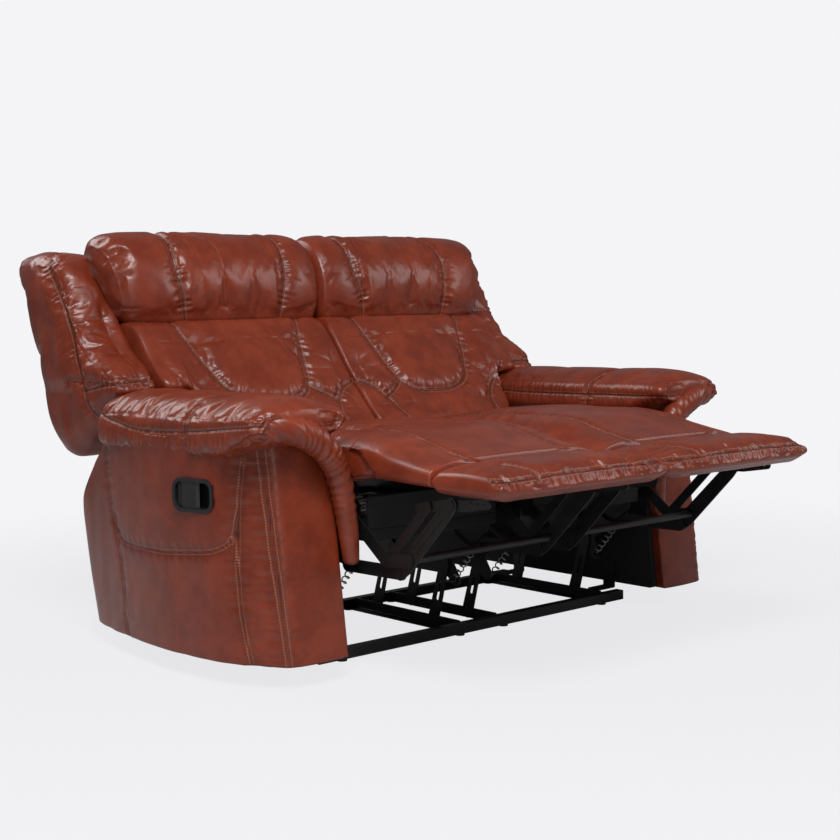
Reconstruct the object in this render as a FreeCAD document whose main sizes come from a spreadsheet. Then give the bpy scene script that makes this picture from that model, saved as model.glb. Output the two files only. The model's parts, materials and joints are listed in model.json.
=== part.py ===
import FreeCAD, Part
import math
import os
from types import SimpleNamespace

# A two-seat reclining loveseat, shown with both footrests out and both backs part reclined.
# X runs across the sofa, the front faces -Y, Z is up and the floor is at Z = 0.
# Lengths are in millimetres. The right seat is built, and the left one is its mirror image.

SIZES = {
    # frame and rails
    "arm_gap_half": 521,
    "seat_centre": 260,
    "seat_half": 251,
    "rail_side_offset": 199,
    "rail_leg": 28,
    "rail_wall": 3.5,
    "rail_rear": 252,
    "cross_rail_front": -215,
    "cross_rail_side": 25,
    "glide_height": 5,
    "glide_radius": 12,
    "arm_lift": 48,
    # pressed steel plates of the mechanism
    "plate_thickness": 3.5,
    "plate_pitch": 4.5,
    "plate_offset": 204,
    "pin_radius": 5,
    "pin_clearance": 0.25,
    "loose_clearance": 1.8,
    "slot_clearance": 1.5,
    "head_radius": 9,
    "head_height": 2.2,
    "link_radius": 15,
    # swing links under the seat
    "swing_length": 150,
    "swing_lean": 17,
    "swing_base_front": -88,
    "swing_base_rear": 137,
    "swing_base_height": 25,
    # footrest linkage, at rest
    "footrest_reach_out": 207,
    "footrest_reach_down": 89,
    "knee_out": -452,
    "knee_up": 238,
    "ankle_out": -621,
    "ankle_up": 403,
    "cross_pin_share": 0.2,
    "twin_offset_back": 75,
    "twin_offset_down": 10,
    # seat box, cushion and nose
    "box_half": 194,
    "box_front": -328,
    "box_rear": 150,
    "box_bottom": 290,
    "box_top": 344,
    "box_wall": 28,
    "nose_out": -330,
    "nose_up": 440,
    "seat_crown": 541,
    "seat_side_top": 512,
    "seat_rear_top": 505,
    "cushion_overhang": 428,
    # ottoman and chaise pad
    "crease_out": -604,
    "ottoman_front": -815,
    "ottoman_top": 484,
    "ottoman_bottom": 424,
    "board_thickness": 12,
    "soft_gap": 0.5,
    "seat_gap": 0.3,
    # back
    "back_pivot_out": 248,
    "back_pivot_up": 386,
    "back_lean": 28,
    "back_frame_length": 560,
    "back_frame_depth": 34,
    "back_bar": 42,
    "lumbar_side": 603,
    "lumbar_between": 508,
    "lumbar_over": 664,
    "head_slope": 0.3,
    "head_bottom": 784,
    "head_top": 1022,
    "wing_outer": 737,
    # arms
    "arm_front": -350,
    "arm_front_lean": 50,
    "arm_rear": 408,
    "arm_rear_bulge": 57,
    "arm_outer": 787,
    "arm_top_front": 528,
    "arm_top_rear": 487,
    "arm_panel": 16,
    "panel_clearance": 0.5,
    "pad_top": 617,
    "pad_inner": 518,
    "pad_outer": 786,
    "pad_rear": 322,
    # release handle
    "handle_out": -115,
    "handle_up": 410,
    "handle_length": 126,
    "handle_height": 75,
    "handle_depth": 30,
    "handle_turn": 11,
    "handle_wall": 2.5,
    "lever_clearance": 0.8,
    "lever_barrel": 5.5,
    # springs
    "spring_coil_radius": 7,
    "spring_wire": 1.6,
    "spring_turns": 6,
    "spring_hook": 8,
    "deck_springs": 5,
    "deck_wire": 2,
    "deck_runs": 9,
    "deck_drop": 14,
}

doc = FreeCAD.newDocument("reclining_sofa")
sheet = doc.addObject("Spreadsheet::Sheet", "sizes")
for row, (alias, value) in enumerate(SIZES.items(), 1):
    sheet.set(f"A{row}", alias)
    sheet.set(f"B{row}", str(value))
    sheet.setAlias(f"B{row}", alias)
doc.recompute()
z = SimpleNamespace(**{alias: float(sheet.get(alias)) for alias in SIZES})
V = FreeCAD.Vector
made = {}


def turned(point, degrees):
    """A (Y, Z) pair turned about X."""
    a = math.radians(degrees)
    return (point[0] * math.cos(a) - point[1] * math.sin(a),
            point[0] * math.sin(a) + point[1] * math.cos(a))


def plus(p, q):
    return (p[0] + q[0], p[1] + q[1])


def minus(p, q):
    return (p[0] - q[0], p[1] - q[1])


# pivots of the footrest linkage, as (Y, Z) pairs at rest
REACH = (-z.footrest_reach_out, -z.footrest_reach_down)
KNEE = (z.knee_out, z.knee_up)
ANKLE = (z.ankle_out, z.ankle_up)
SHIN = minus(ANKLE, KNEE)
HIP = minus(KNEE, REACH)
CROSS_PIN = plus(KNEE, (SHIN[0] * z.cross_pin_share, SHIN[1] * z.cross_pin_share))
FRONT_HIP = minus(CROSS_PIN, REACH)
TWIN = (z.twin_offset_back, -z.twin_offset_down)
TWIN_LOW = plus(CROSS_PIN, TWIN)
TWIN_HIGH = plus(ANKLE, TWIN)
ELBOW = plus(HIP, (-17, -92))
SPRING_HOOK = plus(HIP, (-15, -98))
SPRING_LUG = (-172, 130)
# pivots of the swing links and of the back
SWING = turned((0, z.swing_length), z.swing_lean)
SWING_FRONT_BASE = (z.swing_base_front, z.swing_base_height)
SWING_REAR_BASE = (z.swing_base_rear, z.swing_base_height)
SWING_FRONT_TOP = plus(SWING_FRONT_BASE, SWING)
SWING_REAR_TOP = plus(SWING_REAR_BASE, SWING)
BACK_PIVOT = (z.back_pivot_out, z.back_pivot_up)
DRIVE_LOW = plus(SWING_REAR_TOP, (-24.8, 22.1))
DRIVE_HIGH = plus(BACK_PIVOT, (17.2, -28.4))
# layers of plate outward from the middle of the seat
LAYER_INNER = z.plate_offset - 2 * z.plate_pitch
LAYER_SWING = z.plate_offset - z.plate_pitch
LAYER_SIDE = z.plate_offset
LAYER_ONE = z.plate_offset + z.plate_pitch
LAYER_TWO = z.plate_offset + 2 * z.plate_pitch
LAYER_THREE = z.plate_offset + 3 * z.plate_pitch


def origin_plane(body, role):
    return next(f for f in body.Origin.OriginFeatures if f.Role == role)


def add_sketch(body, edges, role, offset):
    """A sketch of closed outlines on one of the body's own origin planes, moved along its normal."""
    sketch = body.newObject("Sketcher::SketchObject", body.Name + "_outline")
    sketch.AttachmentSupport = (origin_plane(body, role), "")
    sketch.MapMode = "FlatFace"
    sketch.AttachmentOffset = FreeCAD.Placement(V(0, 0, offset), FreeCAD.Rotation())
    sketch.addGeometry(edges, False)
    return sketch


def add_pad(body, edges, length, role="YZ_Plane", offset=0.0):
    """Adds a pad. length is a number, or the alias of a size that drives it."""
    sketch = add_sketch(body, edges, role, offset)
    pad = body.newObject("PartDesign::Pad", body.Name + "_pad")
    pad.Profile = sketch
    if isinstance(length, str):
        pad.setExpression("Length", "sizes." + length)
    else:
        pad.Length = length
    return pad


def add_pocket(body, edges, depth, role="YZ_Plane", offset=0.0, backwards=False):
    """Cuts outlines into the body from a plane at offset, against the plane's normal."""
    sketch = add_sketch(body, edges, role, offset)
    pocket = body.newObject("PartDesign::Pocket", body.Name + "_pocket")
    pocket.Profile = sketch
    pocket.Length = depth
    pocket.Reversed = backwards
    return pocket


def new_body(name):
    return doc.addObject("PartDesign::Body", name)


def flat(p):
    return V(p[0], p[1], 0)


def ring(centre, radius):
    return [Part.Circle(flat(centre), V(0, 0, 1), radius)]


def capsule(p, q, radius, end_radius=None):
    """A bar with round ends from p to q, tapered if the radii differ."""
    r1 = radius
    r2 = radius if end_radius is None else end_radius
    dx, dy = q[0] - p[0], q[1] - p[1]
    length = math.hypot(dx, dy)
    heading = math.atan2(dy, dx)
    tilt = math.acos((r1 - r2) / length)
    up, down = heading + tilt, heading - tilt

    def spot(c, r, angle):
        return V(c[0] + r * math.cos(angle), c[1] + r * math.sin(angle), 0)

    a1, a2 = spot(p, r1, up), spot(p, r1, down)
    b1, b2 = spot(q, r2, up), spot(q, r2, down)
    return [Part.LineSegment(a1, b1),
            Part.Arc(b1, spot(q, r2, heading), b2),
            Part.LineSegment(b2, a2),
            Part.Arc(a2, spot(p, r1, heading + math.pi), a1)]


def arc_slot(centre, radius, start, finish, half):
    """A slot with round ends along an arc about the centre, angles in degrees."""
    def spot(r, degrees):
        return flat(plus(centre, turned((r, 0), degrees)))

    def cap(degrees, side):
        middle = spot(radius, degrees)
        along = turned((half, 0), degrees + side * 90)
        near, far = spot(radius - side * half, degrees), spot(radius + side * half, degrees)
        return Part.Arc(near, middle + flat(along), far)

    middle = (start + finish) / 2
    return [Part.Arc(spot(radius + half, start), spot(radius + half, middle), spot(radius + half, finish)),
            cap(finish, 1), cap(start, -1),
            Part.Arc(spot(radius - half, finish), spot(radius - half, middle), spot(radius - half, start))]


def grown(points, gap):
    """The convex outline moved outward by the gap on every side."""
    middle = (sum(p[0] for p in points) / len(points), sum(p[1] for p in points) / len(points))
    lines = []
    for a, b in zip(points, points[1:] + points[:1]):
        along = minus(b, a)
        length = math.hypot(*along)
        out = (along[1] / length, -along[0] / length)
        away = minus(a, middle)
        if out[0] * away[0] + out[1] * away[1] < 0:
            out = (-out[0], -out[1])
        lines.append((out, out[0] * a[0] + out[1] * a[1] + gap))
    corners = []
    for (n, c), (m, d) in zip(lines[-1:] + lines[:-1], lines):
        det = n[0] * m[1] - n[1] * m[0]
        corners.append(((c * m[1] - d * n[1]) / det, (n[0] * d - m[0] * c) / det))
    return corners


def rounded(points, radius):
    """A closed outline with every corner rounded by an arc. radius is one number or one for each corner."""
    n = len(points)
    radii = radius if isinstance(radius, (list, tuple)) else [radius] * n
    starts, mids, ends = [], [], []
    for i in range(n):
        p, a, b = flat(points[i]), flat(points[i - 1]), flat(points[(i + 1) % n])
        u, w = (a - p).normalize(), (b - p).normalize()
        half = u.getAngle(w) / 2
        cut = radii[i] / math.tan(half)
        middle = p + (u + w).normalize() * (radii[i] / math.sin(half))
        starts.append(p + u * cut)
        ends.append(p + w * cut)
        mids.append(middle + (p - middle).normalize() * radii[i])
    edges = []
    for i in range(n):
        edges.append(Part.Arc(starts[i], mids[i], ends[i]))
        edges.append(Part.LineSegment(ends[i], starts[(i + 1) % n]))
    return edges


def box_outline(x0, y0, x1, y1, radius):
    return rounded([(x0, y0), (x1, y0), (x1, y1), (x0, y1)], radius)


def pair(name, body):
    """The piece and its twin on the seat's other side, as two separate solids of one node."""
    twin = doc.addObject("Part::Mirroring", body.Name + "_twin")
    twin.Source = body
    twin.Normal = V(1, 0, 0)
    twin.setExpression("Base.x", "sizes.seat_centre")
    both = doc.addObject("Part::Compound", name + "_pair")
    both.Links = [body, twin]
    return both


def group(name, parts):
    both = doc.addObject("Part::Compound", name + "_group")
    both.Links = parts
    return both


def both_sides(name, right):
    """Files a right-hand piece and its mirror image on the left of the sofa."""
    right.Label = "right_" + name
    made[right.Label] = right
    left = doc.addObject("Part::Mirroring", "left_" + name)
    left.Source = right
    left.Normal = V(1, 0, 0)
    left.Label = "left_" + name
    made[left.Label] = left


def single(name, piece):
    piece.Label = name
    made[name] = piece


def part_feature(name, shape):
    piece = doc.addObject("Part::Feature", name)
    piece.Shape = shape
    return piece


def add_pin(body, centre, start, end):
    """A rivet pin along X that is part of the body's piece."""
    add_pad(body, ring(centre, z.pin_radius), end - start, offset=z.seat_centre + start)


def add_head(body, centre, start):
    add_pad(body, ring(centre, z.head_radius), "head_height", offset=z.seat_centre + start)


def drill(body, centres, layer):
    """Running holes for pins, through the plate in that layer."""
    edges = []
    for centre in centres:
        edges += ring(centre, z.pin_radius + z.pin_clearance)
    depth = z.plate_thickness + 2
    add_pocket(body, edges, depth, offset=z.seat_centre + layer + z.plate_thickness + 1)


# Base

def side_rails():
    """Two angle rails under each seat, with a standing leg outward that carries the swing links."""
    body = new_body("side_rail")
    outer = z.seat_centre + z.rail_side_offset
    inner = outer - z.rail_leg
    low, high = z.glide_height, z.glide_height + z.rail_leg
    wall = z.rail_wall
    corners = [(inner, low), (outer, low), (outer, high), (outer - wall, high),
               (outer - wall, low + wall), (inner, low + wall)]
    radii = [1, 2, 1, 1, 2, 1]
    start = z.cross_rail_front + z.cross_rail_side
    end = z.rail_rear - z.cross_rail_side
    add_pad(body, rounded(corners, radii), end - start, role="XZ_Plane", offset=-end)
    for base in (SWING_FRONT_BASE, SWING_REAR_BASE):
        reach = z.rail_side_offset - wall
        add_pin(body, base, reach, LAYER_SWING + z.plate_thickness)
    both_sides("side_rails", pair("side_rails", body))


def cross_rails():
    """Square tubes that tie the rails of both seats together at the front and the rear."""
    tubes = []
    for name, start in (("front", "sizes.cross_rail_front"),
                        ("rear", "sizes.rail_rear - sizes.cross_rail_side")):
        tube = doc.addObject("Part::Box", name + "_tube")
        tube.setExpression("Length", "2 * sizes.arm_gap_half - 2 * sizes.soft_gap")
        tube.setExpression("Width", "sizes.cross_rail_side")
        tube.setExpression("Height", "sizes.cross_rail_side")
        tube.setExpression("Placement.Base.x", "sizes.soft_gap - sizes.arm_gap_half")
        tube.setExpression("Placement.Base.y", start)
        tube.setExpression("Placement.Base.z", "sizes.glide_height")
        bore = doc.addObject("Part::Box", name + "_bore")
        wall = "sizes.cross_rail_side - 4"
        bore.setExpression("Length", "2 * sizes.arm_gap_half")
        bore.setExpression("Width", wall)
        bore.setExpression("Height", wall)
        bore.setExpression("Placement.Base.x", "-sizes.arm_gap_half")
        bore.setExpression("Placement.Base.y", start + " + 2")
        bore.setExpression("Placement.Base.z", "sizes.glide_height + 2")
        hollow = doc.addObject("Part::Cut", name + "_rail")
        hollow.Base = tube
        hollow.Tool = bore
        tubes.append(hollow)
    single("cross_rails", group("cross_rails", tubes))


def glides():
    """Plastic glides under the ends of the rails."""
    discs = []
    reach = z.rail_side_offset - z.rail_leg / 2
    middle = z.cross_rail_side / 2
    for side in (-1, 1):
        for offset in (-reach, reach):
            for y in (z.cross_rail_front + middle, z.rail_rear - middle):
                disc = doc.addObject("Part::Cylinder", "glide")
                disc.setExpression("Radius", "sizes.glide_radius")
                disc.setExpression("Height", "sizes.glide_height")
                disc.Placement.Base = V(side * (z.seat_centre + offset), y, 0)
                discs.append(disc)
    single("glides", group("glides", discs))


def arm_brackets():
    """Bent steel brackets that hang each arm on the outer side rail."""
    parts = []
    height = z.glide_height + z.rail_leg
    for index, start in enumerate((z.cross_rail_front + 30, z.swing_base_rear + 28)):
        body = new_body(f"arm_bracket_{index}")
        inner = z.seat_centre + z.rail_side_offset - z.rail_wall
        outer = z.arm_gap_half
        t = 4
        corners = [(inner, height), (outer, height), (outer, height + 75), (outer - t, height + 75),
                   (outer - t, height + t), (inner, height + t)]
        add_pad(body, rounded(corners, [1, 5, 1, 1, 2, 1]), 40, role="XZ_Plane", offset=-(start + 40))
        parts.append(body)
    both_sides("arm_brackets", group("arm_brackets", parts))


# Swing links and seat carriage

def swing_links(name, base, top, extra):
    """A pair of pressed links that stand on the rails and carry the seat."""
    body = new_body(name)
    layer = z.seat_centre + LAYER_SWING
    add_pad(body, capsule(base, top, 19, 16), "plate_thickness", offset=layer)
    if extra:
        add_pad(body, capsule(top, extra, 16, z.link_radius), "plate_thickness", offset=layer)
    drill(body, [base, top], LAYER_SWING)
    waist = plus(base, turned((0, z.swing_length / 2), z.swing_lean))
    slot_top = plus(waist, turned((0, 22), z.swing_lean))
    slot_low = plus(waist, turned((0, -22), z.swing_lean))
    add_pocket(body, capsule(slot_low, slot_top, 5), z.plate_thickness + 2,
               offset=layer + z.plate_thickness + 1)
    if extra:
        add_pin(body, extra, LAYER_INNER, LAYER_SWING)
    both_sides(name, pair(name, body))


def side_plates():
    """The carriage's side plates: every link of the seat hangs from these."""
    body = new_body("side_plate")
    layer = z.seat_centre + LAYER_SIDE
    low = SWING_REAR_TOP
    outline = [plus(FRONT_HIP, (-32, 12)), plus(FRONT_HIP, (-8, 32)), plus(BACK_PIVOT, (0, 24)),
               plus(BACK_PIVOT, (26, 0)), plus(BACK_PIVOT, (18, -34)), plus(low, (28, -16)),
               plus(low, (-6, -26)), plus(SWING_FRONT_TOP, (0, -26)), plus(SPRING_LUG, (10, -15)),
               plus(SPRING_LUG, (-13, -11)), plus(SPRING_LUG, (-11, 9)), plus(SPRING_LUG, (12, 45)),
               plus(HIP, (-40, -62))]
    holes = []
    for share in (0.3, 0.55, 0.8):
        y = HIP[0] + share * (BACK_PIVOT[0] - HIP[0])
        holes += ring((y, 250), 26)
    corners = [9] * len(outline)
    corners[8] = corners[9] = corners[10] = 6
    add_pad(body, rounded(outline, corners) + holes, "plate_thickness", offset=layer)
    reach = minus(SPRING_HOOK, HIP)
    sweep = math.degrees(math.atan2(reach[1], reach[0]))
    slot = arc_slot(HIP, math.hypot(*reach), sweep - 8, sweep + 91.5, z.pin_radius + z.slot_clearance)
    add_pocket(body, slot, z.plate_thickness + 2, offset=layer + z.plate_thickness + 1)
    top_end = LAYER_SWING
    for centre in (SWING_FRONT_TOP, SWING_REAR_TOP, BACK_PIVOT):
        add_pin(body, centre, top_end, LAYER_SIDE)
    add_pin(body, HIP, LAYER_SIDE + z.plate_thickness, LAYER_ONE + z.plate_thickness)
    add_pin(body, FRONT_HIP, LAYER_SIDE + z.plate_thickness, LAYER_THREE + z.plate_thickness)
    spacer = LAYER_THREE - LAYER_SIDE - z.plate_thickness - 0.5
    add_pad(body, ring(FRONT_HIP, 8), spacer, offset=layer + z.plate_thickness)
    add_pin(body, SPRING_LUG, LAYER_SIDE - 20, LAYER_SIDE)
    for y in (z.box_front + 60, z.box_rear - 60):
        boss = LAYER_SIDE - z.box_half
        middle = (z.box_bottom + z.box_top) / 2
        add_pad(body, ring((y, middle), 12), boss, offset=z.seat_centre + z.box_half)
    both_sides("side_plates", pair("side_plates", body))


def seat_box():
    """The timber seat frame: four rails round an open middle."""
    parts = []
    low, high = z.box_bottom, z.box_top
    left, right = z.seat_centre - z.box_half, z.seat_centre + z.box_half
    wall = z.box_wall
    spans = [(left, z.box_front, right, z.box_front + wall),
             (left, z.box_rear - wall, right, z.box_rear),
             (left, z.box_front + wall, left + wall, z.box_rear - wall),
             (right - wall, z.box_front + wall, right, z.box_rear - wall)]
    for index, (x0, y0, x1, y1) in enumerate(spans):
        body = new_body(f"box_rail_{index}")
        add_pad(body, box_outline(x0, y0, x1, y1, 2), high - low, role="XY_Plane", offset=low)
        parts.append(body)
    both_sides("seat_box", group("seat_box", parts))


def zigzag_outline(x, half, front, rear, runs, wire):
    """Outline of one zigzag spring seen from above: a band along a path that steps from side to side."""
    step = (rear - front) / runs
    path = [(x - half, front)]
    for run in range(runs):
        y = front + (run + 0.5) * step
        sides = (-half, half) if run % 2 == 0 else (half, -half)
        path += [(x + sides[0], y), (x + sides[1], y)]
    path.append((path[-1][0], rear))
    left, right = [], []
    for i, (px, py) in enumerate(path):
        ax, ay = path[max(i - 1, 0)]
        bx, by = path[min(i + 1, len(path) - 1)]
        before = math.atan2(py - ay, px - ax) if i else math.pi / 2
        after = math.atan2(by - py, bx - px) if i + 1 < len(path) else math.pi / 2
        shift_x = -wire * (math.sin(before) + math.sin(after)) / (1 + math.cos(after - before))
        shift_y = wire * (math.cos(before) + math.cos(after)) / (1 + math.cos(after - before))
        left.append((px + shift_x, py + shift_y))
        right.append((px - shift_x, py - shift_y))
    corners = [flat(point) for point in left + right[::-1]]
    return [Part.LineSegment(a, b) for a, b in zip(corners, corners[1:] + corners[:1])]


def deck_springs():
    """Zigzag wires stretched from the front to the rear rail of the seat frame, under the cushion."""
    parts = []
    front, rear = z.box_front + z.box_wall, z.box_rear - z.box_wall
    count = int(z.deck_springs)
    pitch = (2 * z.box_half - 2 * z.box_wall) / count
    for i in range(count):
        x = z.seat_centre - z.box_half + z.box_wall + (i + 0.5) * pitch
        body = new_body(f"deck_spring_{i}")
        outline = zigzag_outline(x, 0.33 * pitch, front, rear, int(z.deck_runs), z.deck_wire)
        add_pad(body, outline, 2 * z.deck_wire, role="XY_Plane", offset=z.box_top - z.deck_drop)
        parts.append(body)
    both_sides("deck_springs", group("deck_springs", parts))


# Soft forms

def bowed(points, bulges):
    """A closed wire through the points whose sides are arcs. A bulge of 0 is a straight side."""
    edges = []
    n = len(points)
    centre = sum(points, V(0, 0, 0)) * (1.0 / n)
    for i in range(n):
        a, b = points[i], points[(i + 1) % n]
        if bulges[i] == 0:
            edges.append(Part.LineSegment(a, b).toShape())
            continue
        middle = (a + b) * 0.5
        along = (b - a).normalize()
        out = middle - centre
        out = out - along * out.dot(along)
        edges.append(Part.Arc(a, middle + out.normalize() * bulges[i], b).toShape())
    return Part.Wire(edges)


def drawn_in(profile, amount):
    """The (Y, Z) profile with each corner moved towards the middle by an amount."""
    n = len(profile)
    middle = (sum(p[0] for p in profile) / n, sum(p[1] for p in profile) / n)
    result = []
    for p in profile:
        dy, dz = middle[0] - p[0], middle[1] - p[1]
        length = math.hypot(dy, dz)
        share = min(amount, 0.45 * length) / length
        result.append((p[0] + dy * share, p[1] + dz * share))
    return result


def across(profile, bulges, stations, slope=0.0, level=0.0, ruled=False):
    """A cushion lofted along X. Each station is (x, drawn-in amount); slope tilts the stations."""
    wires = []
    for x, amount in stations:
        points = [V(x + slope * (p[1] - level), p[0], p[1]) for p in drawn_in(profile, amount)]
        wires.append(bowed(points, bulges))
    return Part.makeLoft(wires, True, ruled)


def seat_profile(top):
    """Side view of the seat cushion, with the round nose about the chaise hinge."""
    radius = top - z.nose_up - 1
    low = z.box_top + z.seat_gap
    y, up = z.nose_out, z.nose_up
    corner = math.sqrt(0.5) * radius
    return [V(0, z.box_rear, low), V(0, y, low), V(0, y, up), V(0, y - radius, up),
            V(0, y - corner, up + corner), V(0, y, up + radius), V(0, z.box_rear, z.seat_rear_top)]


def seat_cushion():
    """Seat cushion: crowned across, with a round front nose, its sides hung over the linkages."""
    wires = []
    channel = 0.56 * z.seat_half
    last = z.seat_half - 2
    for offset, top in ((-last, z.seat_side_top), (-channel, z.seat_crown - 8), (0, z.seat_crown),
                        (channel, z.seat_crown - 8), (last, z.seat_side_top)):
        p = [V(z.seat_centre + offset, q.y, q.z) for q in seat_profile(top)]
        radius = top - z.nose_up - 1
        turn = [math.radians(a) for a in (157.5, 112.5)]
        mids = [V(p[0].x, z.nose_out + radius * math.cos(a), z.nose_up + radius * math.sin(a)) for a in turn]
        edges = [Part.LineSegment(p[0], p[1]).toShape(), Part.LineSegment(p[1], p[2]).toShape(),
                 Part.LineSegment(p[2], p[3]).toShape(), Part.Arc(p[3], mids[0], p[4]).toShape(),
                 Part.Arc(p[4], mids[1], p[5]).toShape(),
                 Part.Arc(p[5], (p[5] + p[6]) * 0.5 + V(0, 0, 6), p[6]).toShape(),
                 Part.LineSegment(p[6], p[0]).toShape()]
        wires.append(Part.Wire(edges))
    body = Part.makeLoft(wires, True, False)
    depth = z.box_rear - z.nose_out + 20
    lift = z.cushion_overhang - z.box_top
    for side in (-1, 1):
        edge = z.seat_centre + side * (z.box_half + 2)
        x0 = edge if side > 0 else edge - 100
        body = body.cut(Part.makeBox(100, depth, lift, V(x0, z.nose_out - 10, z.box_top)))
    both_sides("seat_cushion", part_feature("seat_cushion", body))


def chaise_pad():
    """The pad that bridges the seat's nose and the ottoman, hollowed round the nose."""
    wires = []
    channel = 0.56 * z.seat_half
    last = z.seat_half - 2
    low = z.nose_up - 9
    gap = z.soft_gap
    for offset, top in ((-last, z.seat_side_top), (-channel, z.seat_crown - 8), (0, z.seat_crown),
                        (channel, z.seat_crown - 8), (last, z.seat_side_top)):
        x = z.seat_centre + offset
        drop = z.seat_crown - top
        radius = top - z.nose_up + gap
        start, finish = math.radians(111), math.radians(176)
        half = (start + finish) / 2

        def on_nose(angle, r=radius, x=x):
            return V(x, z.nose_out + r * math.cos(angle), z.nose_up + r * math.sin(angle))

        a, m, b = on_nose(start), on_nose(half), on_nose(finish)
        rim = V(x, a.y, top - 1)
        end_top = V(x, z.crease_out, z.ottoman_top - 14 - 0.35 * drop)
        end_low = V(x, z.crease_out, low)
        under = V(x, b.y, low)
        crest = (rim + end_top) * 0.5 + V(0, 0, 9)
        edges = [Part.Arc(a, m, b).toShape(), Part.LineSegment(b, under).toShape(),
                 Part.LineSegment(under, end_low).toShape(), Part.LineSegment(end_low, end_top).toShape(),
                 Part.Arc(end_top, crest, rim).toShape(), Part.LineSegment(rim, a).toShape()]
        wires.append(Part.Wire(edges))
    both_sides("chaise_pad", part_feature("chaise_pad", Part.makeLoft(wires, True, False)))


# Footrest linkage

def rear_link():
    """Lower link from the side plate's hip pivot, bent at the elbow, to the knee."""
    body = new_body("rear_link")
    layer = z.seat_centre + LAYER_ONE
    add_pad(body, capsule(HIP, ELBOW, 17, 15), "plate_thickness", offset=layer)
    add_pad(body, capsule(ELBOW, KNEE, 15, z.link_radius), "plate_thickness", offset=layer)
    drill(body, [HIP], LAYER_ONE)
    add_pin(body, KNEE, LAYER_ONE + z.plate_thickness, LAYER_TWO + z.plate_thickness)
    add_head(body, KNEE, LAYER_TWO + z.plate_thickness + 0.3)
    add_pin(body, SPRING_HOOK, z.box_half + 2, LAYER_ONE)
    both_sides("footrest_rear_links", pair("footrest_rear_links", body))


def front_link():
    """Upper link from the front hip, past the twin pivot, to the crossing pin."""
    body = new_body("front_link")
    layer = z.seat_centre + LAYER_THREE
    add_pad(body, capsule(FRONT_HIP, TWIN_LOW, 16, 15), "plate_thickness", offset=layer)
    add_pad(body, capsule(TWIN_LOW, CROSS_PIN, 15, z.link_radius), "plate_thickness", offset=layer)
    drill(body, [FRONT_HIP, TWIN_LOW, CROSS_PIN], LAYER_THREE)
    both_sides("footrest_front_links", pair("footrest_front_links", body))


def shin_link():
    """The broad ribbed bar from the knee up to the ottoman bracket, with the cross tube."""
    body = new_body("shin_link")
    layer = z.seat_centre + LAYER_TWO
    low = plus(KNEE, (SHIN[0] * 0.12, SHIN[1] * 0.12))
    high = plus(KNEE, (SHIN[0] * 0.9, SHIN[1] * 0.9))
    add_pad(body, capsule(KNEE, low, 15, 20), "plate_thickness", offset=layer)
    add_pad(body, capsule(low, high, 20, 18), "plate_thickness", offset=layer)
    add_pad(body, capsule(high, ANKLE, 18, z.link_radius), "plate_thickness", offset=layer)
    drill(body, [KNEE], LAYER_TWO)
    for shift in (-7.5, 7.5):
        side = (shift * SHIN[1] / math.hypot(*SHIN), -shift * SHIN[0] / math.hypot(*SHIN))
        groove_low = plus(plus(KNEE, (SHIN[0] * 0.34, SHIN[1] * 0.34)), side)
        groove_high = plus(plus(KNEE, (SHIN[0] * 0.84, SHIN[1] * 0.84)), side)
        add_pocket(body, capsule(groove_low, groove_high, 4), 1.4, offset=layer + z.plate_thickness)
    add_pin(body, CROSS_PIN, LAYER_TWO + z.plate_thickness, LAYER_THREE + z.plate_thickness)
    add_pin(body, ANKLE, LAYER_ONE, LAYER_TWO)
    add_head(body, ANKLE, LAYER_TWO + z.plate_thickness)
    links = pair("footrest_shin", body)
    tube = doc.addObject("Part::Cylinder", "cross_tube")
    tube.Radius = 9
    tube.setExpression("Height", "2 * (sizes.plate_offset + 2 * sizes.plate_pitch)")
    tube.setExpression("Placement.Base.x", "sizes.seat_centre - sizes.plate_offset - 2 * sizes.plate_pitch")
    tube.Placement.Rotation = FreeCAD.Rotation(V(0, 1, 0), 90)
    tube.Placement.Base.y = CROSS_PIN[0]
    tube.Placement.Base.z = CROSS_PIN[1]
    both_sides("footrest_shin_links", group("footrest_shin_links", [links, tube]))


def twin_link():
    """The narrow bar that runs parallel to the shin and keeps the ottoman turning with the hip links."""
    body = new_body("twin_link")
    layer = z.seat_centre + LAYER_TWO
    add_pad(body, capsule(TWIN_LOW, TWIN_HIGH, 12, 11), "plate_thickness", offset=layer)
    drill(body, [TWIN_HIGH], LAYER_TWO)
    add_pin(body, TWIN_LOW, LAYER_TWO + z.plate_thickness, LAYER_THREE + z.plate_thickness)
    both_sides("footrest_twin_links", pair("footrest_twin_links", body))


def ottoman_bracket():
    """Plate under the ottoman with the ankle and twin pivots, bent up to a flange under the board."""
    body = new_body("ottoman_bracket")
    layer = z.seat_centre + LAYER_ONE
    tail = plus(TWIN_HIGH, (34, -6))
    knuckle = plus(ANKLE, (-32, 0))
    tip = (-722, z.ottoman_bottom - 12)
    add_pad(body, capsule(tail, ANKLE, 10, 13), "plate_thickness", offset=layer)
    add_pad(body, capsule(ANKLE, knuckle, 13, 12), "plate_thickness", offset=layer)
    add_pad(body, capsule(knuckle, tip, 12, 10), "plate_thickness", offset=layer)
    drill(body, [ANKLE], LAYER_ONE)
    holes = []
    for y in (-714, -696, -674):
        holes += ring((y, z.ottoman_bottom - 11), 3.2)
    add_pocket(body, holes, z.plate_thickness + 2, offset=layer + z.plate_thickness + 1)
    add_pin(body, TWIN_HIGH, LAYER_ONE + z.plate_thickness, LAYER_TWO + z.plate_thickness)
    flange_low = z.ottoman_bottom - 3.5
    flange = rounded([(-728, flange_low), (-645, flange_low), (-645, z.ottoman_bottom + 2),
                      (-728, z.ottoman_bottom + 2)], 1)
    add_pad(body, flange, 24, offset=layer - 20.5)
    both_sides("ottoman_brackets", pair("ottoman_brackets", body))


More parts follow.
